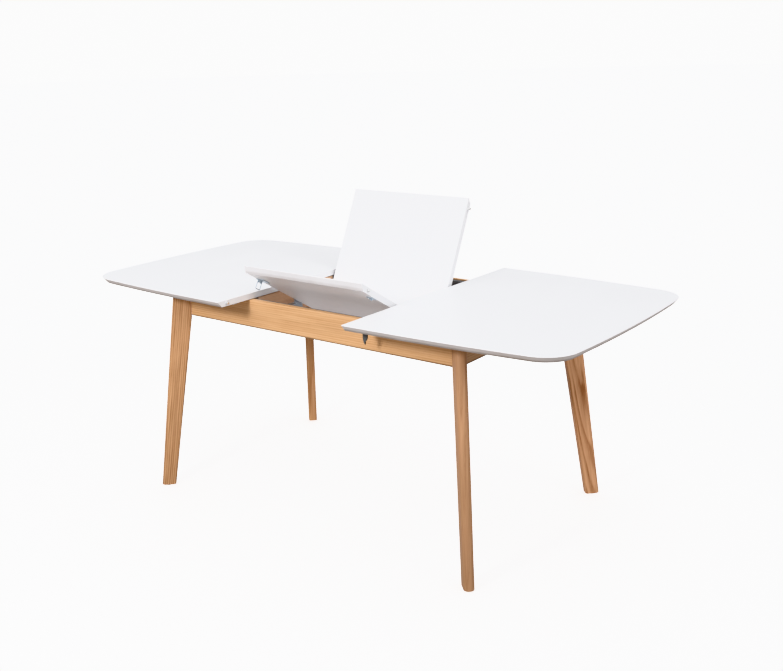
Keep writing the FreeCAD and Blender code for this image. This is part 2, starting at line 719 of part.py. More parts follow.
def make_leaf():
    """Both panels and the links between them."""
    make_leaf_panel("leaf_far", 1, swung)
    make_leaf_panel("leaf_near", -1, lambda shape: folded(shape, FOLD_ANGLE))
    links = Part.makeCompound([hinge_link(x) for x in hinge_places()])
    nodes["leaf_hinge_links"] = folded(links, FOLD_ANGLE / 2)


# Frame

def corner_place(side_x, side_y, out, across, z):
    """Point measured from a frame corner: out along its diagonal and across it."""
    root = math.sqrt(2)
    x = side_x * (HALF_FRAME + (out + across) / root)
    y = side_y * (HALF_DEPTH + (out - across) / root)
    return Vector(x, y, z)


def corner_way(side_x, side_y):
    """Unit vector out along a corner's diagonal."""
    return Vector(side_x, side_y, 0).normalize()


def block_heights():
    """Lowest and highest level of the corner blocks."""
    return APRON_LOW + BLOCK_INSET, APRON_TOP - BLOCK_INSET


def bolt_levels():
    """Heights of the leg bolts."""
    low, high = block_heights()
    return [low + share * (high - low) for share in BOLT_HEIGHT_SHARES]


def block_back():
    """Distance of a corner block's inner face from the corner, along the diagonal."""
    return -(MITRE_RUN + 2 * APRON_THICK + BLOCK_ARM) / math.sqrt(2)


def corner_block(side_x, side_y):
    """Block glued into a frame corner, with a nose that comes out between the apron ends."""
    low, high = block_heights()
    nose = CORNER_OPENING / 2
    neck = -(MITRE_RUN + 2 * APRON_THICK) / math.sqrt(2)
    wing = nose + BLOCK_ARM / math.sqrt(2)
    plan = [
        (-LEG_SEAT, nose), (neck, nose), (block_back(), wing),
        (block_back(), -wing), (neck, -nose), (-LEG_SEAT, -nose),
    ]
    points = [corner_place(side_x, side_y, out, across, low) for out, across in plan]
    return prism(points, Z_AXIS * (high - low))


def leg(side_x, side_y):
    """Tapered splayed leg: a flat board on the corner's diagonal, rounded, seated on the block."""
    foot = GLIDE_THICK
    head = APRON_TOP - LEG_SINK
    half = LEG_THICK / 2
    outline = [
        (LEG_FOOT_REACH, foot), (LEG_FOOT_REACH - LEG_FOOT_WIDTH, foot),
        (LEG_TOP_REACH - LEG_TOP_WIDTH, head), (LEG_TOP_REACH, head),
    ]
    points = [corner_place(side_x, side_y, out, -half, z) for out, z in outline]
    across = corner_place(side_x, side_y, 0, half, 0) - corner_place(side_x, side_y, 0, -half, 0)
    shape = prism(points, across)
    corner = Vector(side_x * HALF_FRAME, side_y * HALF_DEPTH, 0)
    way = corner_way(side_x, side_y)
    middle = (LEG_FOOT_REACH + LEG_TOP_REACH - LEG_FOOT_WIDTH / 2 - LEG_TOP_WIDTH / 2) / 2
    tall = (head - foot) / 2

    def reach(edge):
        return (edge.CenterOfMass - corner).dot(way)

    arrises = [edge for edge in shape.Edges if edge.BoundBox.ZLength > tall]
    shape = shape.makeFillet(LEG_OUTER_ROUND, [edge for edge in arrises if reach(edge) > middle])
    arrises = [edge for edge in shape.Edges if edge.BoundBox.ZLength > tall]
    inner = [edge for edge in arrises if reach(edge) < middle - LEG_INNER_ROUND]
    shape = shape.makeFillet(LEG_INNER_ROUND, inner)
    wide = LEG_TOP_WIDTH
    seat = [
        corner_place(side_x, side_y, -LEG_SEAT, -wide, 0),
        corner_place(side_x, side_y, -LEG_SEAT, wide, 0),
        corner_place(side_x, side_y, -LEG_SEAT - wide, wide, 0),
        corner_place(side_x, side_y, -LEG_SEAT - wide, -wide, 0),
    ]
    return one_solid(shape.cut(prism(seat, Z_AXIS * TABLE_HEIGHT)))


def leg_bolt_pieces(side_x, side_y):
    """Bolts, washers, nuts and bolt holes of one leg."""
    way = corner_way(side_x, side_y)
    bolts = []
    washers = []
    nuts = []
    holes = []
    for level in bolt_levels():
        back = corner_place(side_x, side_y, block_back(), 0, level)
        start = back - way * BOLT_TAIL
        length = BOLT_TAIL - LEG_SEAT - block_back() + BOLT_BITE
        bolts.append(rod(start, way, BOLT_RADIUS, length))
        hole = rod(start - way * OVERRUN, way, BOLT_RADIUS + HOLE_CLEAR, length + OVERRUN + HOLE_CLEAR)
        holes.append(hole)
        washer = rod(back, way * -1, WASHER_RADIUS, WASHER_THICK)
        washers.append(one_solid(washer.cut(hole)))
        nut_seat = back - way * WASHER_THICK
        side_way = Vector(-way.y, way.x, 0)
        rim = []
        for step in range(6):
            turn = math.pi * step / 3
            spoke = side_way * math.cos(turn) + Z_AXIS * math.sin(turn)
            rim.append(nut_seat + spoke * NUT_RADIUS)
        nuts.append(one_solid(prism(rim, way * -NUT_HEIGHT).cut(hole)))
    return bolts, washers, nuts, holes


def eased(shape, face_test):
    """Round the long outer edges of an apron."""
    edges = [edge for edge in shape.Edges if face_test(edge)]
    return shape.makeFillet(APRON_ROUND, edges)


def long_apron(side):
    """Long apron with mitred ends on the near (-1) or far (1) side."""
    outer = HALF_FRAME - MITRE_RUN
    inner = outer - APRON_THICK
    face = side * HALF_DEPTH
    back = side * APRON_INSIDE
    points = [
        Vector(-outer, face, APRON_LOW), Vector(outer, face, APRON_LOW),
        Vector(inner, back, APRON_LOW), Vector(-inner, back, APRON_LOW),
    ]
    shape = prism(points, Z_AXIS * APRON_HEIGHT)

    def outer_edge(edge):
        box = edge.BoundBox
        return box.XLength > outer and side * box.Center.y > HALF_DEPTH - APRON_THICK / 2

    return eased(shape, outer_edge)


def end_apron(side):
    """Short apron with mitred ends at the left (-1) or right (1) end."""
    outer = HALF_DEPTH - MITRE_RUN
    inner = outer - APRON_THICK
    face = side * HALF_FRAME
    back = side * (HALF_FRAME - APRON_THICK)
    points = [
        Vector(face, -outer, APRON_LOW), Vector(face, outer, APRON_LOW),
        Vector(back, inner, APRON_LOW), Vector(back, -inner, APRON_LOW),
    ]
    shape = prism(points, Z_AXIS * APRON_HEIGHT)

    def outer_edge(edge):
        box = edge.BoundBox
        return box.YLength > outer and side * box.Center.x > HALF_FRAME - APRON_THICK / 2

    return eased(shape, outer_edge)


def cross_rail():
    """Right cross rail between the long aprons, notched at both ends for the runners."""
    low = RAIL_TOP - RAIL_HEIGHT
    shape = block(RAIL_FACE, RAIL_FACE + RAIL_THICK, -APRON_INSIDE, APRON_INSIDE, low, RAIL_TOP)
    notch_in = TAB_OUTSIDE - TAB_THICK - RAIL_NOTCH_GAP
    notch_low = CHANNEL_LOW - RAIL_NOTCH_GAP
    cuts = []
    for side in (-1, 1):
        y0 = min(side * notch_in, side * (APRON_INSIDE + OVERRUN))
        y1 = max(side * notch_in, side * (APRON_INSIDE + OVERRUN))
        x1 = RAIL_FACE + RAIL_THICK + OVERRUN
        cuts.append(block(RAIL_FACE - OVERRUN, x1, y0, y1, notch_low, RAIL_TOP + OVERRUN))
    return one_solid(shape.cut(cuts))


def rail_dowels():
    """Dowels that join the cross rails to the long aprons, with their holes."""
    dowels = []
    holes = []
    x = RAIL_FACE + RAIL_THICK / 2
    for end in (-1, 1):
        for side in (-1, 1):
            for share in DOWEL_HEIGHT_SHARES:
                z = RAIL_TOP - RAIL_HEIGHT + share * RAIL_HEIGHT
                start = Vector(end * x, side * (APRON_INSIDE + DOWEL_BITE), z)
                way = Y_AXIS * -side
                dowels.append(rod(start, way, DOWEL_RADIUS, DOWEL_BITE + DOWEL_REACH))
                radius = DOWEL_RADIUS + HOLE_CLEAR
                holes.append(rod(start, way, radius, DOWEL_BITE + DOWEL_REACH + HOLE_CLEAR))
    return dowels, holes


def channel_near():
    """Steel channel on the near apron, open towards the middle, with a stop at each end."""
    back = -APRON_INSIDE
    front = -CHANNEL_FRONT
    half = CHANNEL_HALF
    shape = block(-half, half, back, front, CHANNEL_LOW, CHANNEL_TOP)
    inner_low = CHANNEL_LOW + CHANNEL_WALL
    inner_high = CHANNEL_TOP - CHANNEL_WALL
    room = half - STOP_WIDTH
    hollow = block(-room, room, back + CHANNEL_WALL, front - CHANNEL_WALL, inner_low, inner_high)
    mouth_low = CHANNEL_LOW + CHANNEL_LIP
    mouth_high = CHANNEL_TOP - CHANNEL_LIP
    mouth = block(-room, room, front - CHANNEL_WALL - OVERRUN, front + OVERRUN, mouth_low, mouth_high)
    return one_solid(shape.cut([hollow, mouth]))


def channel_screw(x):
    """Flush screw through the near channel's web into the apron, and its hole."""
    face = Vector(x, -APRON_INSIDE + CHANNEL_WALL, (CHANNEL_LOW + CHANNEL_TOP) / 2)
    way = Y_AXIS * -1
    head = rod(face, way, HEAD_RADIUS, CHANNEL_WALL)
    shank = rod(face, way, SCREW_RADIUS, SCREW_LENGTH)
    head_hole = rod(face, way, HEAD_RADIUS + HOLE_CLEAR, CHANNEL_WALL)
    shank_hole = rod(face, way, SCREW_RADIUS + HOLE_CLEAR, SCREW_LENGTH + HOLE_CLEAR)
    return one_solid(head.fuse(shank).removeSplitter()), head_hole, shank_hole


def make_runners_and_aprons():
    """Aprons, cross rails, channels and what fastens them together."""
    dowels, dowel_holes = rail_dowels()
    reach = CHANNEL_HALF - CHANNEL_SCREW_INSET
    pitch = 2 * reach / (CHANNEL_SCREW_COUNT - 1)
    places = [-reach + step * pitch for step in range(CHANNEL_SCREW_COUNT)]
    pieces = [channel_screw(x) for x in places]
    channel = drilled(channel_near(), [piece[1] for piece in pieces])
    shank_holes = [piece[2] for piece in pieces]
    nodes["channel_near"] = channel
    nodes["channel_far"] = flipped_y(channel)
    near_screws = [piece[0] for piece in pieces]
    nodes["channel_screws"] = Part.makeCompound(near_screws + [flipped_y(one) for one in near_screws])
    nodes["apron_near"] = drilled(long_apron(-1), dowel_holes + shank_holes)
    nodes["apron_far"] = drilled(long_apron(1), dowel_holes + [flipped_y(hole) for hole in shank_holes])
    nodes["apron_left"] = end_apron(-1)
    nodes["apron_right"] = end_apron(1)
    nodes["rail_dowels"] = Part.makeCompound(dowels)
    bracket_screws = []
    for end, word in ((-1, "left"), (1, "right")):
        screws, holes = screws_and_holes(bracket_screw_seats(end), X_AXIS * end)
        rail = cross_rail() if end > 0 else flipped_x(cross_rail())
        nodes["cross_rail_" + word] = drilled(rail, dowel_holes + holes)
        nodes["pivot_bracket_" + word] = drilled(pivot_bracket(end), holes)
        nodes["rest_bracket_" + word] = drilled(rest_bracket(end), holes)
        bracket_screws += screws
    nodes["bracket_screws"] = Part.makeCompound(bracket_screws)


def pivot_bracket(end):
    """Plate with a bush on the cross rail that carries the leaf's pivot pin."""
    y0 = PIVOT_FROM_FOLD - BRACKET_WIDTH / 2
    low = RAIL_TOP - BRACKET_HEIGHT
    plate = block(RAIL_FACE - BRACKET_THICK, RAIL_FACE, y0, y0 + BRACKET_WIDTH, low, RAIL_TOP)
    start = Vector(RAIL_FACE - BUSH_LENGTH, PIVOT_FROM_FOLD, PIVOT_Z)
    bush = rod(start, X_AXIS, BUSH_RADIUS, BUSH_LENGTH)
    bore = rod(start - X_AXIS * OVERRUN, X_AXIS, PIVOT_RADIUS + RUN_CLEAR, BUSH_LENGTH + 2 * OVERRUN)
    shape = one_solid(plate.fuse(bush).removeSplitter().cut(bore))
    return shape if end > 0 else flipped_x(shape)


def rest_level():
    """Height of the underside of the folded leaf when it lies in the frame."""
    return PIVOT_Z - PIVOT_BELOW_TOP - TOP_THICK


def rest_bracket(end):
    """Angle bracket on the cross rail: a ledge that carries the folded leaf and a stand beside its end."""
    high = rest_level() - REST_PLAY
    y1 = -REST_FROM_CENTRE
    y0 = y1 - REST_WIDTH
    ledge = block(RAIL_FACE - REST_REACH, RAIL_FACE, y0, y0 + REST_LEDGE_WIDTH, high - REST_THICK, high)
    plate = block(RAIL_FACE - REST_THICK, RAIL_FACE, y0, y1, high - REST_HEIGHT, high)
    stand = block(RAIL_FACE - REST_THICK, RAIL_FACE, y1 - REST_STAND_WIDTH, y1, high, high + REST_STAND)
    shape = ledge.fuse([plate, stand]).removeSplitter()
    return shape if end > 0 else flipped_x(shape)


def bracket_screw_seats(end):
    """Seats of the screws of both brackets on one cross rail."""
    spread = BRACKET_WIDTH / 2 - BRACKET_SCREW_INSET
    low = RAIL_TOP - BRACKET_HEIGHT + BRACKET_SCREW_INSET
    x = end * (RAIL_FACE - BRACKET_THICK)
    seats = [Vector(x, PIVOT_FROM_FOLD + step * spread, low) for step in (-1, 1)]
    rest_x = end * (RAIL_FACE - REST_THICK)
    rest_y = -REST_FROM_CENTRE - REST_WIDTH / 2
    rest_z = rest_level() - REST_PLAY - REST_SCREW_DROP
    rest_spread = REST_WIDTH / 2 - BRACKET_SCREW_INSET
    seats += [Vector(rest_x, rest_y + step * rest_spread, rest_z) for step in (-1, 1)]
    return seats


def make_legs():
    """Legs, corner blocks, bolts and foot glides."""
    bolts = []
    washers = []
    nuts = []
    glides = []
    for side_y, depth_word in ((-1, "near"), (1, "far")):
        for side_x, length_word in ((-1, "left"), (1, "right")):
            name = depth_word + "_" + length_word
            more_bolts, more_washers, more_nuts, holes = leg_bolt_pieces(side_x, side_y)
            nodes["leg_" + name] = drilled(leg(side_x, side_y), holes)
            nodes["corner_block_" + name] = drilled(corner_block(side_x, side_y), holes)
            bolts += more_bolts
            washers += more_washers
            nuts += more_nuts
            foot = corner_place(side_x, side_y, LEG_FOOT_REACH - LEG_FOOT_WIDTH / 2, 0, 0)
            glides.append(rod(foot, Z_AXIS, GLIDE_RADIUS, GLIDE_THICK))
    nodes["leg_bolts"] = Part.makeCompound(bolts)
    nodes["leg_washers"] = Part.makeCompound(washers)
    nodes["leg_nuts"] = Part.makeCompound(nuts)
    nodes["foot_glides"] = Part.makeCompound(glides)


make_sliders_and_tops()
make_half_top_catches()
make_leaf()
make_runners_and_aprons()
make_legs()

os.makedirs("parts", exist_ok=True)
for name, shape in nodes.items():
    shape.exportStep("parts/" + name + ".step")
    state = "valid" if shape.isValid() else "NOT VALID"
    print(name, len(shape.Solids), "solids", round(shape.Volume), "mm3", state)
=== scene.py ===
import math

import bmesh
import bpy
import numpy as np
from mathutils import Matrix, Vector


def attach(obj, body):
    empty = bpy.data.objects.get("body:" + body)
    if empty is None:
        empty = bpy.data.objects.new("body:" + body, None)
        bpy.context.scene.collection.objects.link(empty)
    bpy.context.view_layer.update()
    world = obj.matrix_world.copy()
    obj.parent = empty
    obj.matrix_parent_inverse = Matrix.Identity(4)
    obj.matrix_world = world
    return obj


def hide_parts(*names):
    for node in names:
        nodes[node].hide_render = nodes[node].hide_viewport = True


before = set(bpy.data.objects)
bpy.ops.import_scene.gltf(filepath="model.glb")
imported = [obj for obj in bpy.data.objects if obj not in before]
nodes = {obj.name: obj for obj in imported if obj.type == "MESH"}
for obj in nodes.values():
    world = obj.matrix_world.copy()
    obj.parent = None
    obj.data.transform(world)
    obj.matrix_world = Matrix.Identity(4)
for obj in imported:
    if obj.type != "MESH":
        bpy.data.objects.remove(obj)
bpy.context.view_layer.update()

# ---------------------------------------------------------------- node trees


def put(tree, kind, sockets=(), **settings):
    """Places one node. sockets pairs an input's name or number with a value or with another node's output."""
    node = tree.nodes.new(kind)
    for key, value in settings.items():
        setattr(node, key, value)
    for key, value in dict(sockets).items():
        if isinstance(value, bpy.types.NodeSocket):
            tree.links.new(value, node.inputs[key])
        else:
            node.inputs[key].default_value = value
    return node


def sum_of(tree, operation, a, b=0.0, clamp=False):
    """One Math node: a and b are numbers or outputs; gives its output."""
    return put(tree, "ShaderNodeMath", {0: a, 1: b}, operation=operation, use_clamp=clamp).outputs[0]


def vector_of(tree, operation, a, b):
    """One Vector Math node on two vectors; gives its output."""
    return put(tree, "ShaderNodeVectorMath", {0: a, 1: b}, operation=operation).outputs[0]


def blend_of(tree, share, a, b, mode="MIX"):
    """One colour Mix node from a to b by share; gives its output."""
    sockets = {0: share, 6: a, 7: b}
    return put(tree, "ShaderNodeMix", sockets, data_type="RGBA", blend_type=mode).outputs[2]


def noise_of(tree, vector, scale, detail=2.0, roughness=0.5, output=0):
    """One Noise Texture node on a vector; gives its value, or the named output."""
    sockets = {"Vector": vector, "Scale": scale, "Detail": detail, "Roughness": roughness}
    return put(tree, "ShaderNodeTexNoise", sockets).outputs[output]


def height_of(tree, vector):
    """The Z of a vector."""
    return put(tree, "ShaderNodeSeparateXYZ", {0: vector}).outputs["Z"]


def ramp_of(tree, value, stops):
    """One ramp of grey levels: stops pairs a place on the ramp with its level."""
    node = put(tree, "ShaderNodeValToRGB", {0: value})
    marks = node.color_ramp.elements
    while len(marks) < len(stops):
        marks.new(0.5)
    for mark, (place, level) in zip(marks, stops):
        mark.position = place
        mark.color = (level, level, level, 1.0)
    return node.outputs[0]


def range_of(tree, value, low, high, to_low, to_high):
    """One Map Range node that carries low..high to to_low..to_high and stops at the ends."""
    sockets = {0: value, 1: low, 2: high, 3: to_low, 4: to_high}
    return put(tree, "ShaderNodeMapRange", sockets).outputs[0]


def new_group(name, inputs, outputs):
    """An empty shader node group with named inputs (name, kind, value) and outputs (name, kind)."""
    tree = bpy.data.node_groups.new(name, "ShaderNodeTree")
    for label, kind, value in inputs:
        socket = tree.interface.new_socket(label, in_out="INPUT", socket_type="NodeSocket" + kind)
        if value is not None:
            socket.default_value = value
    for label, kind in outputs:
        tree.interface.new_socket(label, in_out="OUTPUT", socket_type="NodeSocket" + kind)
    return tree, put(tree, "NodeGroupInput").outputs, put(tree, "NodeGroupOutput").inputs


def tone(red, green, blue):
    """A colour as the shader's four numbers."""
    return (red, green, blue, 1.0)


def grey(tree, level):
    """A single value as a colour, for mixing."""
    return put(tree, "ShaderNodeCombineColor", {0: level, 1: level, 2: level}).outputs[0]


def shaded(tree, colour, level):
    """A colour darkened or lightened by a value, of which 1 leaves it as it is."""
    return blend_of(tree, 1.0, colour, grey(tree, level), "MULTIPLY")


# ---------------------------------------------------------------- shared effects


def make_edge_wear():
    """Edge wear: the normal rounded over a small radius is compared with the face's own normal, and where
    the two part, on an arris, the mask rises. Noise breaks it up so that the wear comes and goes."""
    inputs = [("Vector", "Vector", None), ("Radius", "Float", 0.0015), ("Amount", "Float", 0.5)]
    tree, given, out = new_group("edge_wear", inputs, [("Mask", "Float")])
    rounded = put(tree, "ShaderNodeBevel", {"Radius": given["Radius"]}, samples=4).outputs[0]
    face = put(tree, "ShaderNodeNewGeometry").outputs["Normal"]
    both = {0: rounded, 1: face}
    together = put(tree, "ShaderNodeVectorMath", both, operation="DOT_PRODUCT").outputs["Value"]
    apart = range_of(tree, together, 0.995, 0.80, 0.0, 1.0)
    patchy = range_of(tree, noise_of(tree, given["Vector"], 38.0, 4.0, 0.6), 0.38, 0.66, 0.15, 1.0)
    worn = sum_of(tree, "MULTIPLY", apart, patchy)
    tree.links.new(sum_of(tree, "MULTIPLY", worn, given["Amount"], True), out["Mask"])
    return tree


def add_part(tree, total, value, share, clamp=False):
    """total plus a share of value."""
    return sum_of(tree, "ADD", total, sum_of(tree, "MULTIPLY", value, share), clamp)


def grain_noise(tree, place, squeeze, scale, detail=2.0, roughness=0.5, output=0):
    """Noise drawn out along the grain: Z is squeezed before the noise is read."""
    drawn_out = vector_of(tree, "MULTIPLY", place, (1.0, 1.0, squeeze))
    return noise_of(tree, drawn_out, scale, detail, roughness, output)


# across one ring, from its start to the next: how dark and open the wood is
EARLY_WOOD = [(0.0, 0.35), (0.07, 1.0), (0.22, 0.72), (0.55, 0.16), (0.92, 0.0), (1.0, 0.35)]


def make_oak_figure():
    """Wood figure with the grain along Z and the heart of the tree on the Z axis: rings are the distance
    from that axis, bent by drawn-out noise; the early wood of each ring is dark and open, and fades to
    late wood. Fine fibres run along the grain, and short open pores lie in the early wood."""
    inputs = [
        ("Vector", "Vector", None),
        ("Light", "Color", tone(0.7, 0.4, 0.2)),
        ("Dark", "Color", tone(0.4, 0.2, 0.08)),
        ("Ring scale", "Float", 60.0),
        ("Ring contrast", "Float", 0.6),
        ("Wander", "Float", 0.006),
        ("Fibre", "Float", 0.35),
        ("Streak", "Float", 0.3),
    ]
    outputs = [("Color", "Color"), ("Roughness", "Float"), ("Height", "Float")]
    tree, given, out = new_group("oak_figure", inputs, outputs)
    place = given["Vector"]
    sway = grain_noise(tree, place, 0.10, 26.0, 3.0, 0.55, "Color")
    sway = vector_of(tree, "SUBTRACT", sway, (0.5, 0.5, 0.5))
    sway_sockets = {0: sway, "Scale": given["Wander"]}
    sway = put(tree, "ShaderNodeVectorMath", sway_sockets, operation="SCALE").outputs[0]
    bent = vector_of(tree, "ADD", place, sway)
    settings = {"wave_type": "RINGS", "rings_direction": "Z", "wave_profile": "SAW"}
    wave_sockets = {"Vector": bent, "Scale": given["Ring scale"], "Distortion": 0.0}
    saw = put(tree, "ShaderNodeTexWave", wave_sockets, **settings).outputs["Fac"]
    early = ramp_of(tree, saw, EARLY_WOOD)
    patch = range_of(tree, grain_noise(tree, place, 0.18, 45.0), 0.3, 0.7, 0.45, 1.25)
    ring = sum_of(tree, "MULTIPLY", early, patch)
    fibre = range_of(tree, grain_noise(tree, place, 0.018, 620.0, 4.0, 0.65), 0.3, 0.7, -1.0, 1.0)
    pore = range_of(tree, grain_noise(tree, place, 0.03, 1500.0, 1.0), 0.60, 0.70, 0.0, 1.0)
    pore = sum_of(tree, "MULTIPLY", pore, range_of(tree, early, 0.15, 0.8, 0.12, 1.0))
    streak = range_of(tree, grain_noise(tree, bent, 0.022, 190.0, 3.0, 0.6), 0.36, 0.66, 0.0, 1.0)
    fibre_share = sum_of(tree, "MULTIPLY", given["Fibre"], 0.30)
    share = sum_of(tree, "MULTIPLY", ring, given["Ring contrast"])
    share = add_part(tree, share, streak, given["Streak"])
    share = add_part(tree, share, fibre, fibre_share)
    share = add_part(tree, share, pore, 0.35, True)
    colour = blend_of(tree, share, given["Light"], given["Dark"])
    broad = range_of(tree, grain_noise(tree, place, 0.25, 11.0), 0.3, 0.7, 0.90, 1.07)
    tree.links.new(shaded(tree, colour, broad), out["Color"])
    rough = add_part(tree, 0.44, ring, 0.10)
    rough = add_part(tree, rough, fibre, 0.05)
    tree.links.new(add_part(tree, rough, pore, 0.2), out["Roughness"])
    height = sum_of(tree, "MULTIPLY", ring, -0.25)
    height = add_part(tree, height, fibre, 0.22)
    tree.links.new(sum_of(tree, "SUBTRACT", height, pore), out["Height"])
    return tree


def make_sprayed_skin():
    """A sprayed skin: fine orange peel from two sizes of noise, cloudy gloss, and a faint shift of the
    colour."""
    inputs = [
        ("Vector", "Vector", None),
        ("Color", "Color", tone(0.8, 0.8, 0.8)),
        ("Shift", "Color", tone(0.78, 0.78, 0.79)),
        ("Peel scale", "Float", 420.0),
        ("Gloss low", "Float", 0.28),
        ("Gloss high", "Float", 0.38),
    ]
    outputs = [("Color", "Color"), ("Roughness", "Float"), ("Height", "Float")]
    tree, given, out = new_group("sprayed_skin", inputs, outputs)
    place = given["Vector"]
    peel = noise_of(tree, place, given["Peel scale"])
    dust = noise_of(tree, place, sum_of(tree, "MULTIPLY", given["Peel scale"], 6.0), 1.0)
    cloud = range_of(tree, noise_of(tree, place, 5.5, 4.0, 0.6), 0.32, 0.68, 0.0, 1.0)
    tree.links.new(blend_of(tree, cloud, given["Color"], given["Shift"]), out["Color"])
    wiped = vector_of(tree, "MULTIPLY", place, (1.0, 0.35, 1.0))
    wipe = range_of(tree, noise_of(tree, wiped, 21.0, 3.0), 0.3, 0.7, 0.0, 1.0)
    span = sum_of(tree, "SUBTRACT", given["Gloss high"], given["Gloss low"])
    tree.links.new(add_part(tree, given["Gloss low"], wipe, span), out["Roughness"])
    tree.links.new(add_part(tree, peel, dust, 0.25), out["Height"])
    return tree


def make_plated_skin():
    """Plated or rolled steel: spangle cells of differing tone, drawn scratches along one way, and cloudy
    gloss."""
    inputs = [
        ("Vector", "Vector", None),
        ("Color", "Color", tone(0.6, 0.6, 0.6)),
        ("Shift", "Color", tone(0.5, 0.5, 0.52)),
        ("Cell scale", "Float", 320.0),
        ("Scratch", "Float", 0.5),
        ("Gloss low", "Float", 0.25),
        ("Gloss high", "Float", 0.45),
    ]
    outputs = [("Color", "Color"), ("Roughness", "Float"), ("Height", "Float")]
    tree, given, out = new_group("plated_skin", inputs, outputs)
    place = given["Vector"]
    cell_sockets = {"Vector": place, "Scale": given["Cell scale"]}
    cells = put(tree, "ShaderNodeTexVoronoi", cell_sockets).outputs["Color"]
    cell = put(tree, "ShaderNodeSeparateColor", {0: cells}).outputs[0]
    drawn = vector_of(tree, "MULTIPLY", place, (0.03, 1.0, 1.0))
    line = range_of(tree, noise_of(tree, drawn, 1300.0), 0.35, 0.65, 0.0, 1.0)
    line = sum_of(tree, "MULTIPLY", line, given["Scratch"])
    cloud = range_of(tree, noise_of(tree, place, 60.0, 4.0, 0.6), 0.3, 0.7, 0.0, 1.0)
    share = add_part(tree, sum_of(tree, "MULTIPLY", cell, 0.55), line, 0.45, True)
    tree.links.new(blend_of(tree, share, given["Color"], given["Shift"]), out["Color"])
    span = sum_of(tree, "SUBTRACT", given["Gloss high"], given["Gloss low"])
    rough = add_part(tree, given["Gloss low"], cloud, span)
    tree.links.new(add_part(tree, rough, line, 0.08), out["Roughness"])
    tree.links.new(add_part(tree, line, cell, 0.15), out["Height"])
    return tree


edge_wear = make_edge_wear()
oak_figure = make_oak_figure()
sprayed_skin = make_sprayed_skin()
plated_skin = make_plated_skin()

# ---------------------------------------------------------------- finishes


def new_finish(name, **settings):
    """A material with its shader, whose plain sockets are set here, and the piece's own coordinates."""
    finish = bpy.data.materials.new(name)
    finish.use_nodes = True
    tree = finish.node_tree
    shader = tree.nodes["Principled BSDF"]
    for key, value in settings.items():
        shader.inputs[key.replace("_", " ")].default_value = value
    place = put(tree, "ShaderNodeTexCoord").outputs["Object"]
    return finish, tree, shader, place


def use_group(tree, group, sockets):
    """One placed group with its own values; gives its outputs."""
    return put(tree, "ShaderNodeGroup", sockets, node_tree=group).outputs


def worn_arrises(tree, place, radius, amount):
    """The mask of the edge wear."""
    return use_group(tree, edge_wear, {"Vector": place, "Radius": radius, "Amount": amount})["Mask"]


def lay_on(tree, shader, colour, skin, strength, depth):
    """Feeds the shader a colour, and a skin's roughness and relief."""
    tree.links.new(colour, shader.inputs["Base Color"])
    tree.links.new(skin["Roughness"], shader.inputs["Roughness"])
    bump = put(tree, "ShaderNodeBump", {"Strength": strength, "Distance": depth, "Height": skin["Height"]})
    tree.links.new(bump.outputs[0], shader.inputs["Normal"])


# heights from the floor between which the painted shade on the aprons' lower arris fades out
ARRIS_SHADE_FULL = 0.6332
ARRIS_SHADE_GONE = 0.6360
# heights along a leg, from its middle, between which the painted shade towards the foot fades into the clean
# wood
FOOT_SHADE_FULL = -0.36
FOOT_SHADE_GONE = 0.20
# a wave texture of scale 1 repeats after this length
WAVE_LENGTH = 2 * math.pi / 20


def wood_finish(
    name, heart, along, across, light, dark, ring_gap, contrast,
    wander=0.006, streak=0.3, foot=None, under=None,
):
    """Lacquered wood: heart is a point on the line of the tree's heart, along its direction, and across the
    way that the pattern's X axis points. ring_gap is the distance from ring to ring. Where foot is given, the
    wood is darkened towards the low end of the grain, a painted shade for light that falls off towards the
    floor, and keeps that share of its colour there. Where under is given, the lower arris of an apron is
    darkened, a painted shade for its down-facing rounding, and keeps that share."""
    finish, tree, shader, place = new_finish(name, Specular_IOR_Level=0.38)
    z_way = Vector(along).normalized()
    x_way = (Vector(across) - z_way * Vector(across).dot(z_way)).normalized()
    turn = Matrix((x_way, z_way.cross(x_way), z_way)).transposed().to_euler()
    sockets = {"Vector": place, "Location": Vector(heart), "Rotation": turn}
    board = put(tree, "ShaderNodeMapping", sockets, vector_type="TEXTURE").outputs[0]
    figure = use_group(tree, oak_figure, {
        "Vector": board, "Light": light, "Dark": dark, "Ring scale": WAVE_LENGTH / ring_gap,
        "Ring contrast": contrast, "Wander": wander, "Fibre": 0.35, "Streak": streak,
    })
    colour = figure["Color"]
    # painted shade: the leg darkens towards its foot, standing in for light that falls off towards the floor
    if foot:
        level = height_of(tree, board)
        colour = shaded(tree, colour, range_of(tree, level, FOOT_SHADE_FULL, FOOT_SHADE_GONE, foot, 1.0))
    # painted shade: the apron's lower arris darkens, standing in for the shade on its down-facing rounding
    if under:
        level = height_of(tree, place)
        colour = shaded(tree, colour, range_of(tree, level, ARRIS_SHADE_FULL, ARRIS_SHADE_GONE, under, 1.0))
    lay_on(tree, shader, colour, figure, strength=0.30, depth=0.00025)
    return finish


LACQUER = {"Color": tone(0.820, 0.823, 0.838), "Shift": tone(0.812, 0.815, 0.830)}
# how far a face looks down, -1 being straight down: where the bevel begins, and where the underside ends
BEVEL_BEGINS = (-0.30, -0.50)
UNDERSIDE_ENDS = (-0.97, -0.80)
# depths below a board's upper face between which the bevel's painted shade deepens towards its foot
BEVEL_SHADE_DEEPENS = (-0.0110, -0.0160)


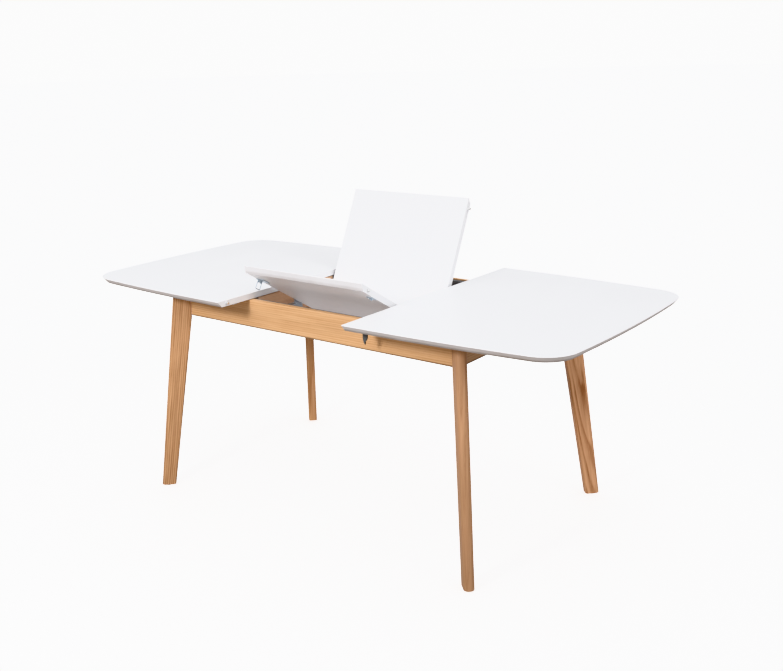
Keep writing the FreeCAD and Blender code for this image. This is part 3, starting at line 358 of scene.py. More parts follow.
def lacquer_finish(name, lie, lean, bevel_shade, bevel_foot_shade):
    """White satin lacquer on board: fine orange peel and cloudy gloss. lie is a point on the board's upper
    face and lean the angle about X that the board is turned at rest, so that the board's own flat place can
    be worked out. The bevel under the edge, which faces out and down on the flat board, is painted darker as
    shade, unevenly along the edge, and darkest and warmest towards the bevel's foot."""
    finish, tree, shader, place = new_finish(name, Specular_IOR_Level=0.45, IOR=1.48)
    skin = use_group(tree, sprayed_skin, {
        "Vector": place, **LACQUER, "Peel scale": 430.0, "Gloss low": 0.30, "Gloss high": 0.40,
    })
    turn = math.radians(lean)
    facing = put(tree, "ShaderNodeTexCoord").outputs["Normal"]
    back = {"Vector": facing, "Rotation": (-turn, 0.0, 0.0)}
    facing = put(tree, "ShaderNodeMapping", back, vector_type="VECTOR").outputs[0]
    down = height_of(tree, facing)
    not_side = range_of(tree, down, *BEVEL_BEGINS, 0.0, 1.0)
    not_under = range_of(tree, down, *UNDERSIDE_ENDS, 0.0, 1.0)
    bevel = sum_of(tree, "MULTIPLY", not_side, not_under)
    uneven = range_of(tree, noise_of(tree, place, 14.0, 3.0), 0.3, 0.7, 0.75, 1.0)
    lying = {"Vector": place, "Location": lie, "Rotation": (turn, 0.0, 0.0)}
    flat = put(tree, "ShaderNodeMapping", lying, vector_type="TEXTURE").outputs[0]
    # painted shade: the bevel, which faces down on the flat board, is darkened, darkest and warmest at its
    # foot
    foot = range_of(tree, height_of(tree, flat), *BEVEL_SHADE_DEEPENS, 0.0, 1.0)
    bevel_shade_colour = blend_of(tree, foot, bevel_shade, bevel_foot_shade)
    colour = blend_of(tree, sum_of(tree, "MULTIPLY", bevel, uneven), skin["Color"], bevel_shade_colour)
    lay_on(tree, shader, colour, skin, strength=0.06, depth=0.0003)
    return finish


def coated_finish(name, colour, shift, bare):
    """Dark coated steel: powder texture, cloudy gloss, and bare metal showing at worn arrises."""
    finish, tree, shader, place = new_finish(name, Specular_IOR_Level=0.5)
    skin = use_group(tree, sprayed_skin, {
        "Vector": place, "Color": colour, "Shift": shift,
        "Peel scale": 900.0, "Gloss low": 0.34, "Gloss high": 0.5,
    })
    worn = worn_arrises(tree, place, radius=0.0008, amount=0.55)
    tree.links.new(sum_of(tree, "MULTIPLY", worn, 0.8), shader.inputs["Metallic"])
    worn_colour = blend_of(tree, worn, skin["Color"], bare)
    lay_on(tree, shader, worn_colour, skin, strength=0.18, depth=0.0002)
    return finish


RUBBED_STEEL = tone(0.80, 0.81, 0.83)


def plated_finish(name, colour, shift):
    """Plated or bright steel: small spangle, drawing lines, and brighter arrises where it has rubbed."""
    finish, tree, shader, place = new_finish(name, Metallic=1.0)
    skin = use_group(tree, plated_skin, {
        "Vector": place, "Color": colour, "Shift": shift, "Cell scale": 520.0, "Scratch": 0.5,
        "Gloss low": 0.26, "Gloss high": 0.44,
    })
    worn = worn_arrises(tree, place, radius=0.0005, amount=0.6)
    worn_colour = blend_of(tree, worn, skin["Color"], RUBBED_STEEL)
    lay_on(tree, shader, worn_colour, skin, strength=0.12, depth=0.0001)
    return finish


PLASTIC = {"Color": tone(0.035, 0.035, 0.036), "Shift": tone(0.05, 0.05, 0.05)}
SCUFFED_PLASTIC = tone(0.12, 0.12, 0.12)


def moulded_finish(name):
    """Moulded plastic: a fine spark-eroded grain and scuffed arrises."""
    finish, tree, shader, place = new_finish(name, Specular_IOR_Level=0.45)
    skin = use_group(tree, sprayed_skin, {
        "Vector": place, **PLASTIC, "Peel scale": 1400.0, "Gloss low": 0.42, "Gloss high": 0.6,
    })
    worn = worn_arrises(tree, place, radius=0.0008, amount=0.6)
    worn_colour = blend_of(tree, worn, skin["Color"], SCUFFED_PLASTIC)
    lay_on(tree, shader, worn_colour, skin, strength=0.25, depth=0.0002)
    return finish


APRON_LIGHT = tone(0.720, 0.440, 0.235)
APRON_DARK = tone(0.430, 0.215, 0.085)
# the right end apron's light and dark wood, darker than the other aprons': painted shade under the top's
# overhang
SHADED_END_LIGHT = tone(0.600, 0.385, 0.220)
SHADED_END_DARK = tone(0.370, 0.195, 0.085)
RAIL_LIGHT = tone(0.74, 0.49, 0.33)
RAIL_DARK = tone(0.48, 0.28, 0.17)

# a point on the upper faces of the half tops, and one on the line where the leaf's upper faces meet at rest
TOP_FACE = (0.0, 0.0, 0.745)
FOLD_LINE = (0.0, 0.050589, 0.611591)
# degrees that the panels are turned from flat at rest
FAR_LEAN = 65.0
NEAR_LEAN = -31.0
# the bevel's colour, a painted shade, and the darker, warmer painted shade at its foot
TOP_BEVEL_SHADE = (tone(0.60, 0.565, 0.54), tone(0.33, 0.285, 0.25))
LEAF_BEVEL_SHADE = (tone(0.665, 0.655, 0.665), tone(0.54, 0.52, 0.52))
top_lacquer = lacquer_finish("white_satin_lacquer", TOP_FACE, 0.0, *TOP_BEVEL_SHADE)
leaf_far_lacquer = lacquer_finish("white_satin_lacquer_far_panel", FOLD_LINE, FAR_LEAN, *LEAF_BEVEL_SHADE)
leaf_near_lacquer = lacquer_finish("white_satin_lacquer_near_panel", FOLD_LINE, NEAR_LEAN, *LEAF_BEVEL_SHADE)
# each steel: its colour, the colour that it shifts to, and, where it is coated, the bare metal
DARK_STEEL = (tone(0.130, 0.136, 0.142), tone(0.155, 0.160, 0.166), tone(0.4, 0.41, 0.43))
HOOK_STEEL = (tone(0.100, 0.106, 0.106), tone(0.130, 0.136, 0.132), tone(0.50, 0.51, 0.50))
ZINC = (tone(0.53, 0.60, 0.66), tone(0.42, 0.48, 0.54))
BRIGHT_STEEL = (tone(0.80, 0.80, 0.79), tone(0.72, 0.72, 0.72))
dark_steel = coated_finish("dark_coated_steel", *DARK_STEEL)
hook_steel = coated_finish("hook_steel", *HOOK_STEEL)
zinc = plated_finish("zinc_plate", *ZINC)
bright_steel = plated_finish("bright_pin_steel", *BRIGHT_STEEL)
black_plastic = moulded_finish("black_glide_plastic")

# the frame's half length and half width, and where a leg's middle line starts and ends: how far it lies
# outside the frame's corner, and its height
FRAME_HALF = (0.5635, 0.310)
LEG_TOP_OUT = 0.007
LEG_FOOT_OUT = 0.117
LEG_TOP_Z = 0.722
LEG_FOOT_Z = 0.003
# how much of the clean colour a leg keeps at its foot under the painted shade
NEAR_LEG_FOOT_SHADE = 0.84
FAR_LEG_FOOT_SHADE = 0.94
# per leg: where the heart of the tree lies from the leg's middle line, outwards and sideways, how far it
# leans against the leg, the ring gap, the strength of the rings and of the streaks, the light and dark wood
LEG_FIGURE = {
    "near_left": (0.30, 0.010, 0.010, 0.0072, 0.56, 0.45, tone(0.62, 0.36, 0.195), tone(0.29, 0.135, 0.056)),
    "near_right": (-0.11, 0.045, 0.012, 0.0050, 0.26, 0.30, tone(0.50, 0.285, 0.16), tone(0.29, 0.145, 0.07)),
    "far_right": (0.012, 0.058, -0.022, 0.0046, 0.78, 0.30, tone(0.74, 0.42, 0.235), tone(0.33, 0.14, 0.06)),
    "far_left": (0.22, -0.030, 0.012, 0.0060, 0.50, 0.35, tone(0.66, 0.375, 0.20), tone(0.34, 0.15, 0.06)),
}


def leg_line(corner):
    """A leg's middle line: its middle point, its direction upwards and its outward and sideways
    directions."""
    x_side = -1.0 if "left" in corner else 1.0
    y_side = -1.0 if "near" in corner else 1.0
    out = Vector((x_side, y_side, 0.0)).normalized()
    start = Vector((FRAME_HALF[0] * x_side, FRAME_HALF[1] * y_side, 0.0))
    foot = start + out * LEG_FOOT_OUT + Vector((0, 0, LEG_FOOT_Z))
    top = start + out * LEG_TOP_OUT + Vector((0, 0, LEG_TOP_Z))
    up = (top - foot).normalized()
    return (foot + top) / 2, up, out, Vector((0, 0, 1)).cross(out)


def leg_finish(corner):
    """Oak for one leg, with its own cut from the tree and the grain along the splayed leg."""
    middle, up, out, side = leg_line(corner)
    heart_out, heart_side, lean, gap, contrast, streak, light, dark = LEG_FIGURE[corner]
    heart = middle + out * heart_out + side * heart_side
    along = up + side * lean
    # the share of colour that the leg keeps at its foot under the painted shade
    foot = NEAR_LEG_FOOT_SHADE if "near" in corner else FAR_LEG_FOOT_SHADE
    name = "oak_leg_" + corner
    return wood_finish(name, heart, along, out, light, dark, gap, contrast, streak=streak, foot=foot)


leg_oak = {corner: leg_finish(corner) for corner in LEG_FIGURE}
UPWARDS = (0, 0, 1)
# how much of the clean colour the lower arris of an apron keeps under its painted shade
APRON_ARRIS_SHADE = 0.42
# per apron: a point on the heart's line, the heart's direction, the ring gap, and the light and dark wood
APRON_CUT = {
    "near": ((0.1, -0.36, 0.52), (1.0, 0.0, 0.012), 0.0066, APRON_LIGHT, APRON_DARK),
    "far": ((-0.2, 0.40, 0.57), (1.0, 0.01, -0.010), 0.0060, APRON_LIGHT, APRON_DARK),
    "left": ((-0.66, 0.05, 0.60), (0.0, 1.0, 0.015), 0.0058, APRON_LIGHT, APRON_DARK),
    # the right end apron takes the darker wood, a painted shade under the top's overhang
    "right": ((0.63, 0.02, 0.55), (0.0, 1.0, -0.014), 0.0062, SHADED_END_LIGHT, SHADED_END_DARK),
}


def apron_finish(word):
    """Oak for one apron, with its own cut from the tree and the grain along the board."""
    heart, along, gap, light, dark = APRON_CUT[word]
    name = "oak_apron_" + word
    # the lower arris gets painted shade
    return wood_finish(name, heart, along, UPWARDS, light, dark, gap, 0.46, wander=0.005, under=APRON_ARRIS_SHADE)


apron_oak = {word: apron_finish(word) for word in APRON_CUT}
# per hidden wood: its name, a point on the heart's line, the heart's direction, the light wood, the ring gap
# and the strength of the rings
RAIL_CUT = {
    "left": ("rail_left", (-0.30, 0.0, 0.56), (0.0, 1.0, 0.01), RAIL_LIGHT, 0.0045, 0.30),
    "right": ("rail_right", (0.31, 0.0, 0.58), (0.0, 1.0, -0.01), RAIL_LIGHT, 0.0042, 0.30),
    "block": ("corner_block_wood", (0.0, 0.0, 0.60), (1.0, 0.35, 0.02), RAIL_LIGHT, 0.0050, 0.34),
    "dowel": ("dowel_wood", (0.0, 0.05, 0.66), (1.0, 0.0, 0.02), APRON_LIGHT, 0.0030, 0.25),
}
rail_wood = {
    word: wood_finish(name, heart, along, UPWARDS, light, RAIL_DARK, gap, contrast)
    for word, (name, heart, along, light, gap, contrast) in RAIL_CUT.items()
}


def dress(names, finish):
    """Gives carried-over pieces a finish."""
    for name in names:
        for holder in nodes[name].material_slots:
            holder.material = finish


def show(name, mesh, body, slot, finish, *stands_for):
    """Places a finished mesh as a piece that rides on a body and stands for CAD nodes."""
    mesh.materials.clear()
    mesh.materials.append(finish)
    piece = bpy.data.objects.new(name, mesh)
    bpy.context.scene.collection.objects.link(piece)
    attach(piece, body)
    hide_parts(*stands_for)
    return piece


# how far the arrises of each kind of board are eased
LACQUERED_EASE = 0.0004
LEG_EASE = 0.0012
APRON_EASE = 0.0009
# points closer than this are one, and faces that part by less than this many degrees are one face
SAME_POINT = 2e-6
SAME_FACE = 0.2
# the facets of screw holes are shorter than this; an edge is worked or sharp past so many degrees
SHORTEST_ARRIS = 0.003
WORKED_BEND = 35
SHARP_BEND = 25
EASE_STEPS = 3


def eased_board(node, body, slot, finish, ease):
    """A sawn and drilled board with its long arrises eased: the node's own mesh is copied and merged, flat
    faces are made whole again, and a Bevel rounds every sharp edge longer than a screw hole's facets by
    ease."""
    mesh = nodes[node].data.copy()
    mesh.attributes.remove(mesh.attributes["custom_normal"])
    form = bmesh.new()
    form.from_mesh(mesh)
    bmesh.ops.remove_doubles(form, verts=form.verts, dist=SAME_POINT)
    flat = math.radians(SAME_FACE)
    bmesh.ops.dissolve_limit(form, angle_limit=flat, verts=form.verts, edges=form.edges)
    form.to_mesh(mesh)
    bend = np.degrees([edge.calc_face_angle(0.0) for edge in form.edges])
    long = np.array([edge.calc_length() for edge in form.edges]) > SHORTEST_ARRIS
    form.free()
    worked = long & (bend > WORKED_BEND)
    weight = mesh.attributes.new("bevel_weight_edge", "FLOAT", "EDGE")
    weight.data.foreach_set("value", worked.astype(np.float32))
    sharp = mesh.attributes.get("sharp_edge") or mesh.attributes.new("sharp_edge", "BOOLEAN", "EDGE")
    sharp.data.foreach_set("value", (bend > SHARP_BEND) & ~worked)
    mesh.polygons.foreach_set("use_smooth", np.ones(len(mesh.polygons), bool))
    piece = show(node + "_board", mesh, body, slot, finish, node)
    soft = piece.modifiers.new("eased arrises", "BEVEL")
    soft.limit_method = "WEIGHT"
    soft.width = ease
    soft.segments = EASE_STEPS
    soft.use_clamp_overlap = False
    soft.harden_normals = True


eased_board("left_top", "left_top", "white_lacquer", top_lacquer, LACQUERED_EASE)
eased_board("right_top", "right_top", "white_lacquer", top_lacquer, LACQUERED_EASE)
eased_board("leaf_far_panel", "leaf_far", "white_lacquer", leaf_far_lacquer, LACQUERED_EASE)
eased_board("leaf_near_panel", "leaf_near", "white_lacquer", leaf_near_lacquer, LACQUERED_EASE)
for corner in LEG_FIGURE:
    eased_board("leg_" + corner, "frame", "oak", leg_oak[corner], LEG_EASE)
    dress(["corner_block_" + corner], rail_wood["block"])
for word in APRON_CUT:
    eased_board("apron_" + word, "frame", "oak", apron_oak[word], APRON_EASE)
for word in ("left", "right"):
    dress(["cross_rail_" + word], rail_wood[word])
    dress(["leaf_pivot_plate_" + word, "leaf_pivot_pin_" + word], zinc)
    dress(["pivot_bracket_" + word, "rest_bracket_" + word], zinc)
for word in ("near", "far"):
    panel = "leaf_" + word
    dress([panel + "_keeper", panel + "_loop_plate", panel + "_wire_loop", panel + "_hinge_cups"], zinc)
    dress([panel + "_joint_pin"], bright_steel)
    dress(["channel_" + word, "left_slider_" + word, "right_slider_" + word], dark_steel)
    dress(["hook_" + word], hook_steel)
dress(["rail_dowels"], rail_wood["dowel"])
dress(["right_hook_plates"], hook_steel)
dress(["right_hook_pins", "left_keepers", "leaf_hinge_links"], zinc)
dress(["left_joint_pins"], bright_steel)

# ---------------------------------------------------------------- fasteners and feet


def solids_of(node):
    """The solids of a node, each as an array of its points: corners that share a place become one, every
    point starts with its own label, and the lowest label of a triangle spreads over it until nothing
    changes."""
    mesh = nodes[node].data
    places = np.empty(3 * len(mesh.vertices), np.float32)
    mesh.vertices.foreach_get("co", places)
    corners = np.empty(len(mesh.loops), np.int32)
    mesh.loops.foreach_get("vertex_index", corners)
    places, same = np.unique(places.reshape(-1, 3).round(6).astype(float), axis=0, return_inverse=True)
    faces = same.ravel()[corners].reshape(-1, 3)
    label = np.arange(len(places))
    while True:
        spread = label.copy()
        np.minimum.at(spread, faces, label[faces].min(1)[:, None])
        if np.array_equal(spread, label):
            return [places[label == mark] for mark in np.unique(label)]
        label = spread


# points farther out than this share of the radius belong to a turned solid's wide end
WIDE_SHARE = 0.9


def turned_place(points, slender):
    """The frame of one turned solid: rows are two directions across and the axis, which points to the wider
    end, with the seat, where the wide end begins, and the lengths above and below it. The axis is the
    longest direction of a slender solid, and the shortest of a disc."""
    middle = points.mean(0)
    ways = np.linalg.svd(points - middle, full_matrices=False)[2]
    axis = ways[0] if slender else ways[2]
    helper = np.eye(3)[np.argmin(np.abs(axis))]
    first = np.cross(helper, axis)
    first /= np.linalg.norm(first)
    ways = np.stack([first, np.cross(axis, first), axis])
    local = (points - middle) @ ways.T
    centre = (local.min(0) + local.max(0)) / 2
    local -= centre * [1, 1, 0]
    far = np.hypot(local[:, 0], local[:, 1])
    wide = local[far > WIDE_SHARE * far.max(), 2]
    if wide.mean() < centre[2]:
        ways = ways * [[1], [-1], [-1]]
        local = local * [1, -1, -1]
        centre = centre * [1, -1, -1]
        wide = -wide
    seat = middle + centre[0] * ways[0] + centre[1] * ways[1] + wide.min() * ways[2]
    return ways, seat, local[:, 2].max() - wide.min(), wide.min() - local[:, 2].min()


def repeated(points, quads, rims, ways, seats):
    """Repeats one shape at many places: each copy's X, Y and Z lie along its rows of ways, from its seat."""
    copies = np.arange(len(seats)) * len(points)
    spread = np.einsum("pk,nkx->npx", points, np.array(ways)) + np.array(seats)[:, None, :]
    faces = (quads[None] + copies[:, None, None]).reshape(-1, 4).tolist()
    for rim in rims:
        faces += (rim[None] + copies[:, None]).tolist()
    return spread.reshape(-1, 3), faces


TURNED_SHARP = 40


def turned_mesh(name, points, faces):
    """A mesh from points and faces, with its faces outwards and its edges sharp past TURNED_SHARP degrees."""
    mesh = bpy.data.meshes.new(name)
    mesh.from_pydata(points.tolist(), [], faces)
    form = bmesh.new()
    form.from_mesh(mesh)
    bmesh.ops.recalc_face_normals(form, faces=form.faces)
    form.to_mesh(mesh)
    form.free()
    mesh.polygons.foreach_set("use_smooth", np.ones(len(mesh.polygons), bool))
    mesh.set_sharp_from_angle(angle=math.radians(TURNED_SHARP))
    return mesh


def rows_of_quads(rows, around, start=0, closed=False):
    """Quads of a grid of rows that run round: row after row, the last joined to the first if closed."""
    row = np.arange(rows if closed else rows - 1)[:, None] * around
    turn = np.arange(around)[None, :]
    after = (turn + 1) % around
    above = (row + around) % (rows * around)
    return start + np.stack([row + turn, row + after, above + after, above + turn], -1).reshape(-1, 4)


def rings_of(profile, way):
    """Rings about Z: every (radius, height) of a profile is carried round the flat directions of way."""
    profile = np.array(profile)
    flat = profile[:, :1, None] * way[None]
    level = np.broadcast_to(profile[:, 1:, None], flat.shape[:2] + (1,))
    return np.concatenate([flat, level], -1).reshape(-1, 3)


# shares of a screw head's radius: the grid lines of its face, the face's rim, and the cross's arms
HEAD_GRID = np.array([0.10, 0.15, 0.34, 0.56, 0.66, 0.86, 1.0])
HEAD_FACE = 0.93
CROSS_ARM = 0.12
CROSS_REACH = 0.60
# shares of its height: the rise of a domed face, and the cross's depth in the middle and its fall per radius
HEAD_CROWN = 0.30
CROSS_DEPTH = 0.62
CROSS_FALL = 0.45
# a screw's thread turns, and the thread's root as a share of the shank's radius
SCREW_TURNS = 7
THREAD_ROOT = 0.74


def screw_shape(head, height, shank, length, flush):
    """A cross-recessed screw about Z, its seat at 0. The head's face is a square grid laid on a disc, (u, v)
    to (u sqrt(1 - v v / 2), v sqrt(1 - u u / 2)), domed by the square of the distance from the middle and
    sunk where |u| or |v| is inside an arm of the cross, deeper towards the middle. Its rim then runs down
    rows of rings: the head's rounded side, the seat, the shank with its thread turns, and the point."""
    line = np.concatenate([-HEAD_GRID[::-1], [0.0], HEAD_GRID])
    u, v = np.meshgrid(line, line, indexing="ij")
    x, y = u * np.sqrt(1 - v * v / 2), v * np.sqrt(1 - u * u / 2)
    out = np.hypot(x, y)
    crown = 0.0 if flush else HEAD_CROWN
    arm = np.minimum(np.abs(u), np.abs(v))
    reach = np.maximum(np.abs(u), np.abs(v))
    sunk = np.where((arm < CROSS_ARM) & (reach < CROSS_REACH), CROSS_DEPTH - CROSS_FALL * reach, 0.0)
    top = height * (1 - crown * out ** 2 - sunk)
    face = np.stack([x * head * HEAD_FACE, y * head * HEAD_FACE, top], -1).reshape(-1, 3)
    size = len(line)
    number = np.arange(size * size).reshape(size, size)
    quads = np.stack([number[:-1, :-1], number[1:, :-1], number[1:, 1:], number[:-1, 1:]], -1).reshape(-1, 4)
    rim = np.concatenate([number[:-1, 0], number[-1, :-1], number[:0:-1, -1], number[0, :0:-1]])
    way = face[rim, :2] / np.linalg.norm(face[rim, :2], axis=1, keepdims=True)
    pitch = length / (SCREW_TURNS + 2)
    turns = np.repeat(-pitch * np.arange(1, SCREW_TURNS + 1), 2) - np.tile([0.0, pitch / 2], SCREW_TURNS)
    thread = np.tile([THREAD_ROOT, 1.0], SCREW_TURNS) * shank
    side = [(0.985 * head, height * 0.50), (head, height * 0.26), (head, 0.0), (shank, 0.0)]
    point = [(0.70 * shank, -length * 0.93), (0.12 * shank, -length)]
    profile = side + list(zip(thread, turns)) + point
    around = np.arange(len(rim))
    after = np.roll(around, -1)
    first = size * size
    joint = np.stack([rim, first + around, first + after, rim[after]], -1)
    quads = np.concatenate([quads, joint, rows_of_quads(len(profile), len(rim), first)])
    points = np.concatenate([face, rings_of(profile, way)])
    return points, quads, [first + (len(profile) - 1) * len(rim) + around]


def lathe_shape(profile, around=48):
    """A closed profile of (radius, height) carried round Z: every profile point becomes a ring."""
    angle = np.arange(around) * 2 * np.pi / around
    points = rings_of(profile, np.stack([np.cos(angle), np.sin(angle)], -1))
    return points, rows_of_quads(len(profile), around, closed=True), []


# a nut's round face as a share of the flats' radius, its cone in degrees, and its bore's chamfer: the mouth
# as a share of the bore, and the depth as a share of the height
NUT_FACE = 0.97
NUT_CONE = 30
NUT_MOUTH = 1.1
NUT_SINK = 0.08


def nut_shape(corner, bore, height, around=72):
    """A hexagon nut about Z: its radius at an angle is the hexagon's, cut by a cone of NUT_CONE degrees at
    both faces, so each corner ends in the curved chamfer of a turned nut. The bore is chamfered too."""
    angle = np.arange(around) * 2 * np.pi / around
    fold = (angle + np.pi / 6) % (np.pi / 3) - np.pi / 6
    flat = corner * math.cos(math.pi / 6)
    hexagon = flat / np.cos(np.pi / 6 - np.abs(fold))
    face = NUT_FACE * flat
    drop = (hexagon - face) * math.tan(math.radians(NUT_CONE))
    mouth = NUT_MOUTH * bore
    sink = NUT_SINK * height
    rows = [
        (bore, sink), (mouth, 0.0), (face, 0.0), (hexagon, drop),
        (hexagon, height - drop), (face, height), (mouth, height), (bore, height - sink),
    ]
    far, level = np.array([[np.broadcast_to(part, around) for part in row] for row in rows]).swapaxes(0, 1)
    points = np.stack([far * np.cos(angle), far * np.sin(angle), level], -1).reshape(-1, 3)
    return points, rows_of_quads(len(rows), around, closed=True), []


# a bolt's thread: its pitch, its depth and the rows in each turn; the chamfer of the bolt's end
THREAD_PITCH = 0.00125
THREAD_DEPTH = 0.00068
THREAD_STEPS = 6
STUD_CHAMFER = 0.0012


def stud_shape(radius, low, high, threaded, around=24):
    """A threaded bolt about Z from low to high. Over its threaded end the radius falls by a triangle wave of
    the height less the turned angle, once per pitch, which is a right-hand thread; the rest is plain. The
    upper end is chamfered."""
    steps = int(threaded / THREAD_PITCH * THREAD_STEPS)
    turns = high - np.arange(steps + 1) * THREAD_PITCH / THREAD_STEPS
    level = np.concatenate([turns, [high - threaded - 0.001, low]])[:, None]
    angle = np.arange(around) * 2 * np.pi / around
    phase = (level / THREAD_PITCH - angle[None, :] / (2 * np.pi)) % 1.0
    depth = THREAD_DEPTH * np.abs(2 * phase - 1) * (level > high - threaded - 0.0005)
    depth = np.maximum(depth, np.clip(level - high + STUD_CHAMFER, 0, None))
    far = radius - depth
    level = np.broadcast_to(level, far.shape)
    points = np.stack([far * np.cos(angle), far * np.sin(angle), level], -1).reshape(-1, 3)
    first = np.arange(around)
    last = (len(level) - 1) * around + first
    return points, rows_of_quads(len(level), around), [first, last]


# radii of a screw's head and shank
SCREW_HEAD = 0.0035
SCREW_SHANK = 0.00175


def put_screws(node, body, flush=False):
    """Screws with a cross recess in place of a node's plain ones, at the node's own seats and lengths."""
    ways, seats, tops, shanks = zip(*[turned_place(points, True) for points in solids_of(node)])
    shape = screw_shape(SCREW_HEAD, min(tops), SCREW_SHANK, min(shanks), flush)
    mesh = turned_mesh(node, *repeated(*shape, ways, seats))
    show(node + "_cross_head", mesh, body, "zinc", zinc, node)


put_screws("left_screws", "left_top")
put_screws("right_screws", "right_top")
put_screws("leaf_far_screws", "leaf_far")
put_screws("leaf_near_screws", "leaf_near")
put_screws("bracket_screws", "frame")
put_screws("channel_screws", "frame", True)


# a nut's radius to its corners, its bore's radius and its height
NUT = (0.0075, 0.0043, 0.0065)
# profiles of (radius, height): a pressed washer, and a glide with a hollow under its middle
WASHER = [
    (0.0043, 0.0004), (0.0043, 0.0020), (0.0086, 0.0020), (0.0090, 0.0016), (0.0090, 0.0004),
    (0.0086, 0.0), (0.0046, 0.0),
]
GLIDE = [
    (0.0002, 0.0011), (0.0030, 0.0011), (0.0036, 0.0004), (0.0042, 0.0), (0.0122, 0.0),
    (0.0134, 0.0004), (0.0140, 0.0013), (0.0140, 0.0030), (0.0002, 0.0030),
]
STUD_RADIUS = 0.004
STUD_END = 0.013


def put_discs(node, shape, name):
    """Turned discs in place of a node's plain ones; a disc's wide end begins at its lower face."""
    ways, seats = zip(*[turned_place(points, False)[:2] for points in solids_of(node)])
    show(name, turned_mesh(node, *repeated(*shape, ways, seats)), "frame", "zinc", zinc, node)


def put_glides():
    """Moulded glides in place of the plain ones: upright on the floor, below the plain ones' seats."""
    seats = [turned_place(points, False)[1] * [1, 1, 0] for points in solids_of("foot_glides")]
    upright = np.eye(3)[None].repeat(len(seats), 0)
    mesh = turned_mesh("foot_glides", *repeated(*lathe_shape(GLIDE), upright, seats))
    show("foot_glides_moulded", mesh, "frame", "black_plastic", black_plastic, "foot_glides")


def put_studs():
    """Threaded bolts in place of the plain ones. The axis runs inwards, so that the threaded end stands out
    of the corner block towards the table's middle."""
    studs = [turned_place(points, True) for points in solids_of("leg_bolts")]
    all_ways = []
    middles = []
    for ways, seat, above, below in studs:
        inward = -np.sign(seat[0]) * np.sign(ways[2][0])
        all_ways.append(ways * [[1], [inward], [inward]])
        middles.append(seat + ways[2] * (above - below) / 2)
    half = sum(studs[0][2:]) / 2
    shape = stud_shape(STUD_RADIUS, -half, half, STUD_END)
    mesh = turned_mesh("leg_bolts", *repeated(*shape, all_ways, middles))
    show("leg_bolts_threaded", mesh, "frame", "zinc", zinc, "leg_bolts")


put_discs("leg_nuts", nut_shape(*NUT), "leg_nuts_chamfered")
put_discs("leg_washers", lathe_shape(WASHER), "leg_washers_pressed")
put_glides()
put_studs()

# ---------------------------------------------------------------- floor, light and camera


WHITE = tone(1.0, 1.0, 1.0)
FLOOR_TONES = (tone(0.86, 0.86, 0.86), tone(0.87, 0.87, 0.87))
FLOOR_GLOW = 1.2
FLOOR_RINGS = [0.0, 2.0, 6.0, 20.0, 60.0]
FLOOR_AROUND = 64


def make_floor():
    """A flat round floor: a grid of distance from the middle and angle, its faces upwards."""
    reach = np.array(FLOOR_RINGS)[:, None]
    angle = np.linspace(0, 2 * np.pi, FLOOR_AROUND, endpoint=False)[None, :]
    points = np.stack([reach * np.cos(angle), reach * np.sin(angle), 0 * reach * angle], -1)
    quads = rows_of_quads(len(FLOOR_RINGS), FLOOR_AROUND)[:, ::-1]
    mesh = bpy.data.meshes.new("floor")
    mesh.from_pydata(points.reshape(-1, 3).tolist(), [], quads.tolist())
    floor = bpy.data.objects.new("floor", mesh)
    bpy.context.scene.collection.objects.link(floor)
    shining = {"Emission_Color": WHITE, "Emission_Strength": FLOOR_GLOW}
    finish, tree, shader, place = new_finish("pale_floor", Specular_IOR_Level=0.1, **shining)
    cloud = range_of(tree, noise_of(tree, place, 1.5, 3.0), 0.3, 0.7, 0.0, 1.0)
    tree.links.new(blend_of(tree, cloud, *FLOOR_TONES), shader.inputs["Base Color"])
    # seen from below, the floor lets the underside of the table show
    clear = put(tree, "ShaderNodeBsdfTransparent").outputs[0]
    behind = put(tree, "ShaderNodeNewGeometry").outputs["Backfacing"]
    both = put(tree, "ShaderNodeMixShader", {0: behind, 1: shader.outputs[0], 2: clear}).outputs[0]
    tree.links.new(both, tree.nodes["Material Output"].inputs["Surface"])
    mesh.materials.append(finish)
    floor.visible_diffuse = False
    floor.visible_glossy = False
    floor.visible_shadow = False


def add_sun(name, strength, softness, way):
    """A sun whose light travels along way; softness is its width in degrees."""
    lamp = bpy.data.lights.new(name, "SUN")
    lamp.energy = strength
    lamp.angle = math.radians(softness)
    sun = bpy.data.objects.new(name, lamp)
    sun.rotation_euler = Vector(way).to_track_quat("-Z", "Y").to_euler()
    bpy.context.scene.collection.objects.link(sun)


def add_lamp(name, watts, width, place, aim):
    """A round soft lamp of a given width that stands at place and points at aim."""
    lamp = bpy.data.lights.new(name, "AREA")
    lamp.shape = "DISK"
    lamp.size = width
    lamp.energy = watts
    shade = bpy.data.objects.new(name, lamp)
    turn = (Vector(aim) - Vector(place)).to_track_quat("-Z", "Y").to_matrix().to_4x4()
    shade.matrix_world = Matrix.Translation(place) @ turn
    shade.visible_camera = False
    bpy.context.scene.collection.objects.link(shade)


ROOM_CEILING = tone(1.22, 1.225, 1.24)
ROOM_WALL = tone(0.24, 0.24, 0.245)
ROOM_FLOOR = tone(0.52, 0.475, 0.465)
# the room's floor gives way to its walls between these heights of the line of sight
ROOM_SKIRTING = (-0.10, 0.10)
BACKDROP_GLOW = 2.4
KEY_WATTS = 68.0
KEY_WIDTH = 0.6
KEY_PLACE = (-0.06, -3.0, 2.02)
KEY_AIM = (0.0, -0.31, 0.68)
# each sun: its strength, its width in degrees and the way its light travels
FILL_SUN = (0.92, 18, (-0.92, 0.17, -0.35))
TOP_SUN = (0.85, 80, (0.0, 0.0, -1.0))


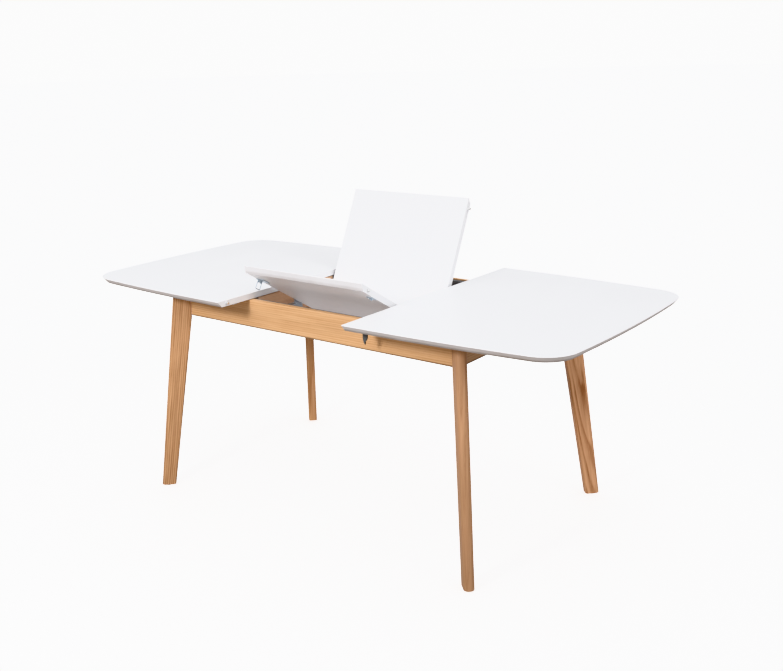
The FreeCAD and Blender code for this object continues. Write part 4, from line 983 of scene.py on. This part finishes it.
def make_light():
    """A studio: a pale ceiling above, dim walls, a warm floor below, a soft key from the front, a fill from
    the right and a wide top light. The backdrop that the camera sees is white."""
    world = bpy.data.worlds.new("studio")
    bpy.context.scene.world = world
    world.use_nodes = True
    tree = world.node_tree
    back = tree.nodes["Background"]
    way = put(tree, "ShaderNodeTexCoord").outputs["Generated"]
    height = height_of(tree, way)
    room = blend_of(tree, range_of(tree, height, 0.0, 1.0, 0.0, 1.0), ROOM_WALL, ROOM_CEILING)
    share = range_of(tree, height, *ROOM_SKIRTING, 0.0, 1.0)
    tree.links.new(blend_of(tree, share, ROOM_FLOOR, room), back.inputs["Color"])
    white = {"Color": WHITE, "Strength": BACKDROP_GLOW}
    seen = put(tree, "ShaderNodeBackground", white).outputs[0]
    first = put(tree, "ShaderNodeLightPath").outputs["Is Camera Ray"]
    both = put(tree, "ShaderNodeMixShader", {0: first, 1: back.outputs[0], 2: seen}).outputs[0]
    tree.links.new(both, tree.nodes["World Output"].inputs["Surface"])
    add_lamp("key", KEY_WATTS, KEY_WIDTH, KEY_PLACE, KEY_AIM)
    add_sun("fill", *FILL_SUN)
    add_sun("top", *TOP_SUN)


# the photograph's camera: its place, heading, tilt and roll in radians, and its focal length in pixels of a
# picture of this width
CAMERA_PLACE = (2.06132, -2.55992, 1.50940)
CAMERA_TURNS = (0.656555, 0.280522, -0.026483)
FOCAL_PIXELS = 1003.573
PICTURE_WIDTH = 783.0
SENSOR_WIDTH = 36.0
FARTHEST_SEEN = 200.0


def make_camera():
    """The photograph's camera: turned to its heading, tilted down, and rolled about its line of sight."""
    heading, tilt, roll = CAMERA_TURNS
    right = np.array([math.cos(heading), math.sin(heading), 0.0])
    level = np.array([-math.sin(heading), math.cos(heading), 0.0])
    ahead = level * math.cos(tilt) - np.array([0.0, 0.0, math.sin(tilt)])
    up = np.cross(right, ahead)
    rolled_right = right * math.cos(roll) + up * math.sin(roll)
    rolled_up = up * math.cos(roll) - right * math.sin(roll)
    lens = bpy.data.cameras.new("camera")
    lens.sensor_fit = "HORIZONTAL"
    lens.sensor_width = SENSOR_WIDTH
    lens.lens = SENSOR_WIDTH * FOCAL_PIXELS / PICTURE_WIDTH
    lens.clip_end = FARTHEST_SEEN
    camera = bpy.data.objects.new("camera", lens)
    turn = Matrix(np.stack([rolled_right, rolled_up, -ahead], -1).tolist()).to_4x4()
    camera.matrix_world = Matrix.Translation(CAMERA_PLACE) @ turn
    bpy.context.scene.collection.objects.link(camera)
    bpy.context.scene.camera = camera


make_floor()
make_light()
make_camera()
bpy.context.scene.view_settings.view_transform = "Khronos PBR Neutral"
